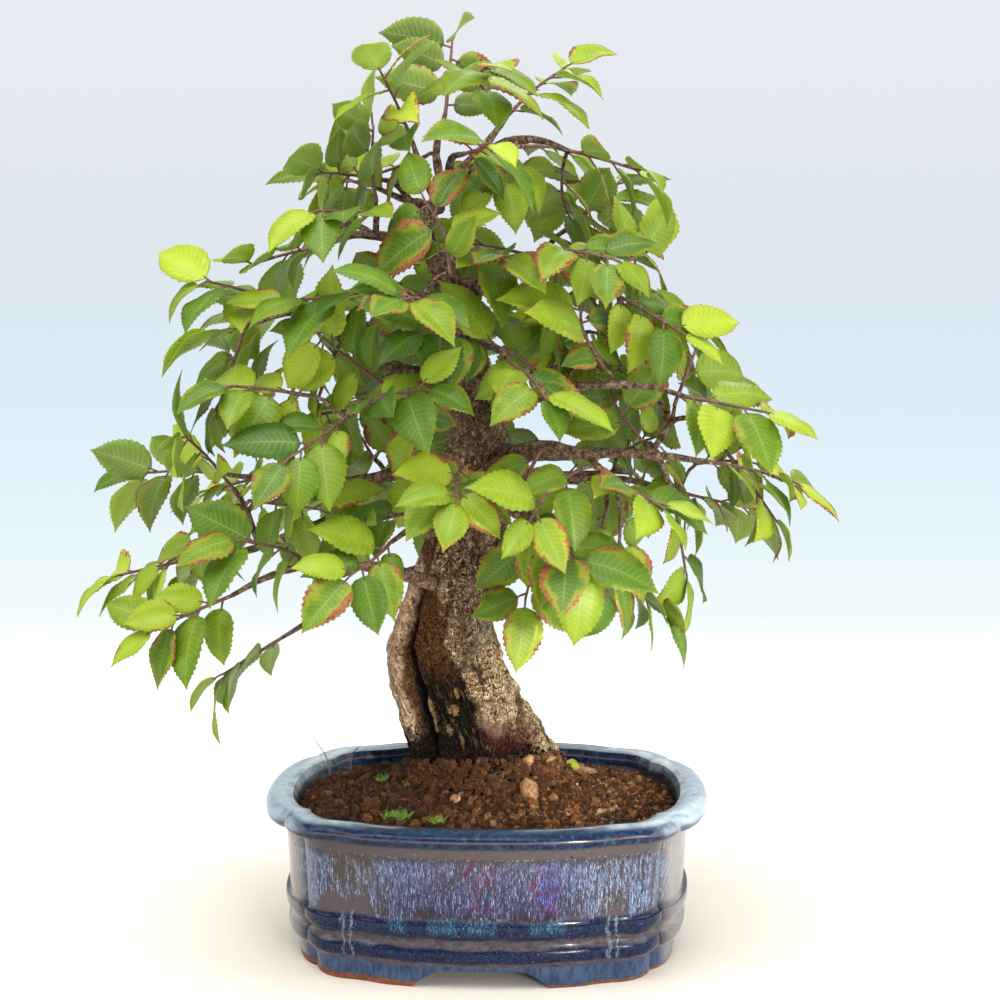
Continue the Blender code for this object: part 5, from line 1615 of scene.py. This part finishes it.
def make_moss():
    """Tufts of thin bright green blades on the soil."""
    draw = random.Random(21)
    heap = Heap()
    for x, y, spread, count in MOSS_TUFTS:
        for _ in range(count):
            angle, out = draw.uniform(0, math.tau), spread * draw.random() ** 0.6
            foot = Vector((x + out * math.cos(angle), y + 0.6 * out * math.sin(angle), 0))
            foot.z = mound_height(foot.x, foot.y) + 0.4
            lean = Vector((draw.uniform(-1, 1), draw.uniform(-1, 1), draw.uniform(0.6, 1.6))).normalized()
            tall = draw.uniform(*MOSS_LENGTH)
            stops = [foot, foot + lean * tall * 0.5, foot + lean * tall - UP * tall * 0.12]
            heap.add(*shell(tube(stops, MOSS_RADII, 4)))
    heap.piece("moss", plain_material("moss", (0.038, 0.110, 0.010), (0.20, 0.35, 0.035), 0.9, 0.7), "leaf")


def make_stones():
    """The one larger tan stone and a few pale bits on the soil."""
    draw = random.Random(5)
    shape, faces = unit_sphere(3)
    heap = Heap()
    for x, y, lift, size, stretch in STONES:
        body = lumpy(shape, draw, 0.45) * size * np.array(stretch)
        heap.add(body + np.array((x, y, mound_height(x, y) + lift + size * 0.55)), faces)
    surface = plain_material("tan_stone", (0.13, 0.060, 0.025), (0.40, 0.22, 0.095), 0.5, 0.8, 0.8)
    heap.piece("stones", surface, "soil")


def make_litter():
    """The fallen leaf and the dead stalks."""
    blades, stems = Heap(), Heap()
    x, y = FALLEN_LEAF
    along = Vector((0.96, -0.26, 0.05)).normalized()
    facing = Vector((0.0, -0.45, 0.89))
    facing = (facing - along * facing.dot(along)).normalized()
    leaf = {"base": Vector((x - 5, y, mound_height(x, y) + 2.2)), "direction": along, "facing": facing,
            "length": FALLEN_LEAF_LENGTH, "half_width": 4.2, "droop": 0.5, "fold": 0.1, "wave": 0.3,
            "hand": 1}
    add_blade(blades, leaf, random.Random(3), True)
    blades.piece("fallen_leaf", bpy.data.materials["hornbeam_leaf"], "leaf")
    for stops in STALKS:
        stems.add(*shell(tube(smooth_route(stops, 2.0), STALK_RADII, 5)))
    surface = plain_material("dead_stalk", (0.05, 0.03, 0.02), (0.20, 0.13, 0.09), 0.6, 0.8)
    stems.piece("dead_stalks", surface, "bark")


def backdrop_material():
    """A pale floor, warmer and darker near the pot with painted shadow, that gives way to cool pale blue, by
    height, behind it, where the backdrop glows with painted light.
    """
    tree = Tree("backdrop")
    height, top = tree.axis("Z"), BACKDROP_GLOW[-1][0]
    glow_colour = tree.ramp(height * (1 / top), *[(z / top, tone) for z, tone in BACKDROP_GLOW])
    from_pot = tree.add("ShaderNodeVectorMath", {0: tree.place()}, "Value", operation="LENGTH")
    # painted shadow: the floor near the pot has a darker, warmer tone
    tree.finish(tree.coat((0.90, 0.895, 0.885), (from_pot.band(*WARM_SHADED_FLOOR), (0.80, 0.72, 0.63))), 0.9)
    # the backdrop behind glows with painted light, its colour set by height
    glow = tree.add("ShaderNodeEmission", {"Color": glow_colour, "Strength": 1.0})
    return tree.blend(tree.axis("Y").band(*FLOOR_END), glow)


def make_backdrop():
    """A pale sweep: floor, curve and wall."""
    front, back = FLOOR_REACH
    curve = [(back + CURVE_RADIUS * math.sin(turn), CURVE_RADIUS - CURVE_RADIUS * math.cos(turn))
             for turn in CURVE_TURNS]
    profile = [(front, 0), (back, 0)] + curve + [(back + CURVE_RADIUS, WALL_TOP)]
    points = [(x, y, z) for y, z in profile for x in (-BACKDROP_HALF, BACKDROP_HALF)]
    faces = [[2 * k, 2 * k + 1, 2 * k + 3, 2 * k + 2] for k in range(len(profile) - 1)]
    sweep = mesh_object("backdrop", points, faces)
    sweep.data.materials.append(backdrop_material())


def add_light(name, place, target, size, power, colour):
    data = bpy.data.lights.new(name, "AREA")
    data.shape, data.size, data.energy, data.color = "SQUARE", size * MM, power, colour
    light = add_object(name, data)
    light.location = Vector(place) * MM + POT_SHIFT
    aim = (Vector(target) - Vector(place)).normalized()
    light.rotation_euler = aim.to_track_quat("-Z", "Y").to_euler()
    return light


def add_lights():
    world = bpy.data.worlds.new("pale_room")
    bpy.context.scene.world = world
    world.use_nodes = True
    background = world.node_tree.nodes["Background"].inputs
    background["Color"].default_value = (0.86, 0.92, 1.0, 1.0)
    background["Strength"].default_value = WORLD_STRENGTH
    for light in LIGHTS:
        add_light(*light)
    add_light(*TRUNK_LIGHT).data.spread = math.radians(TRUNK_LIGHT_SPREAD)


def add_camera():
    data = bpy.data.cameras.new("photo_camera")
    data.lens, data.sensor_width = CAMERA_LENS, SENSOR_WIDTH
    data.clip_start, data.clip_end = 0.05, 50.0
    camera = add_object("photo_camera", data)
    camera.location = Vector(CAMERA_PLACE) * MM + POT_SHIFT
    camera.rotation_euler = (math.radians(90 - CAMERA_PITCH), 0, math.radians(CAMERA_TURN))
    bpy.context.scene.camera = camera


def main():
    add_camera()
    add_lights()
    make_backdrop()
    make_fine_pot()
    make_nets()
    make_soil_bed()
    make_grains()
    make_crown()
    make_moss()
    make_stones()
    make_litter()
    bpy.context.scene.view_settings.view_transform = "Standard"


main()
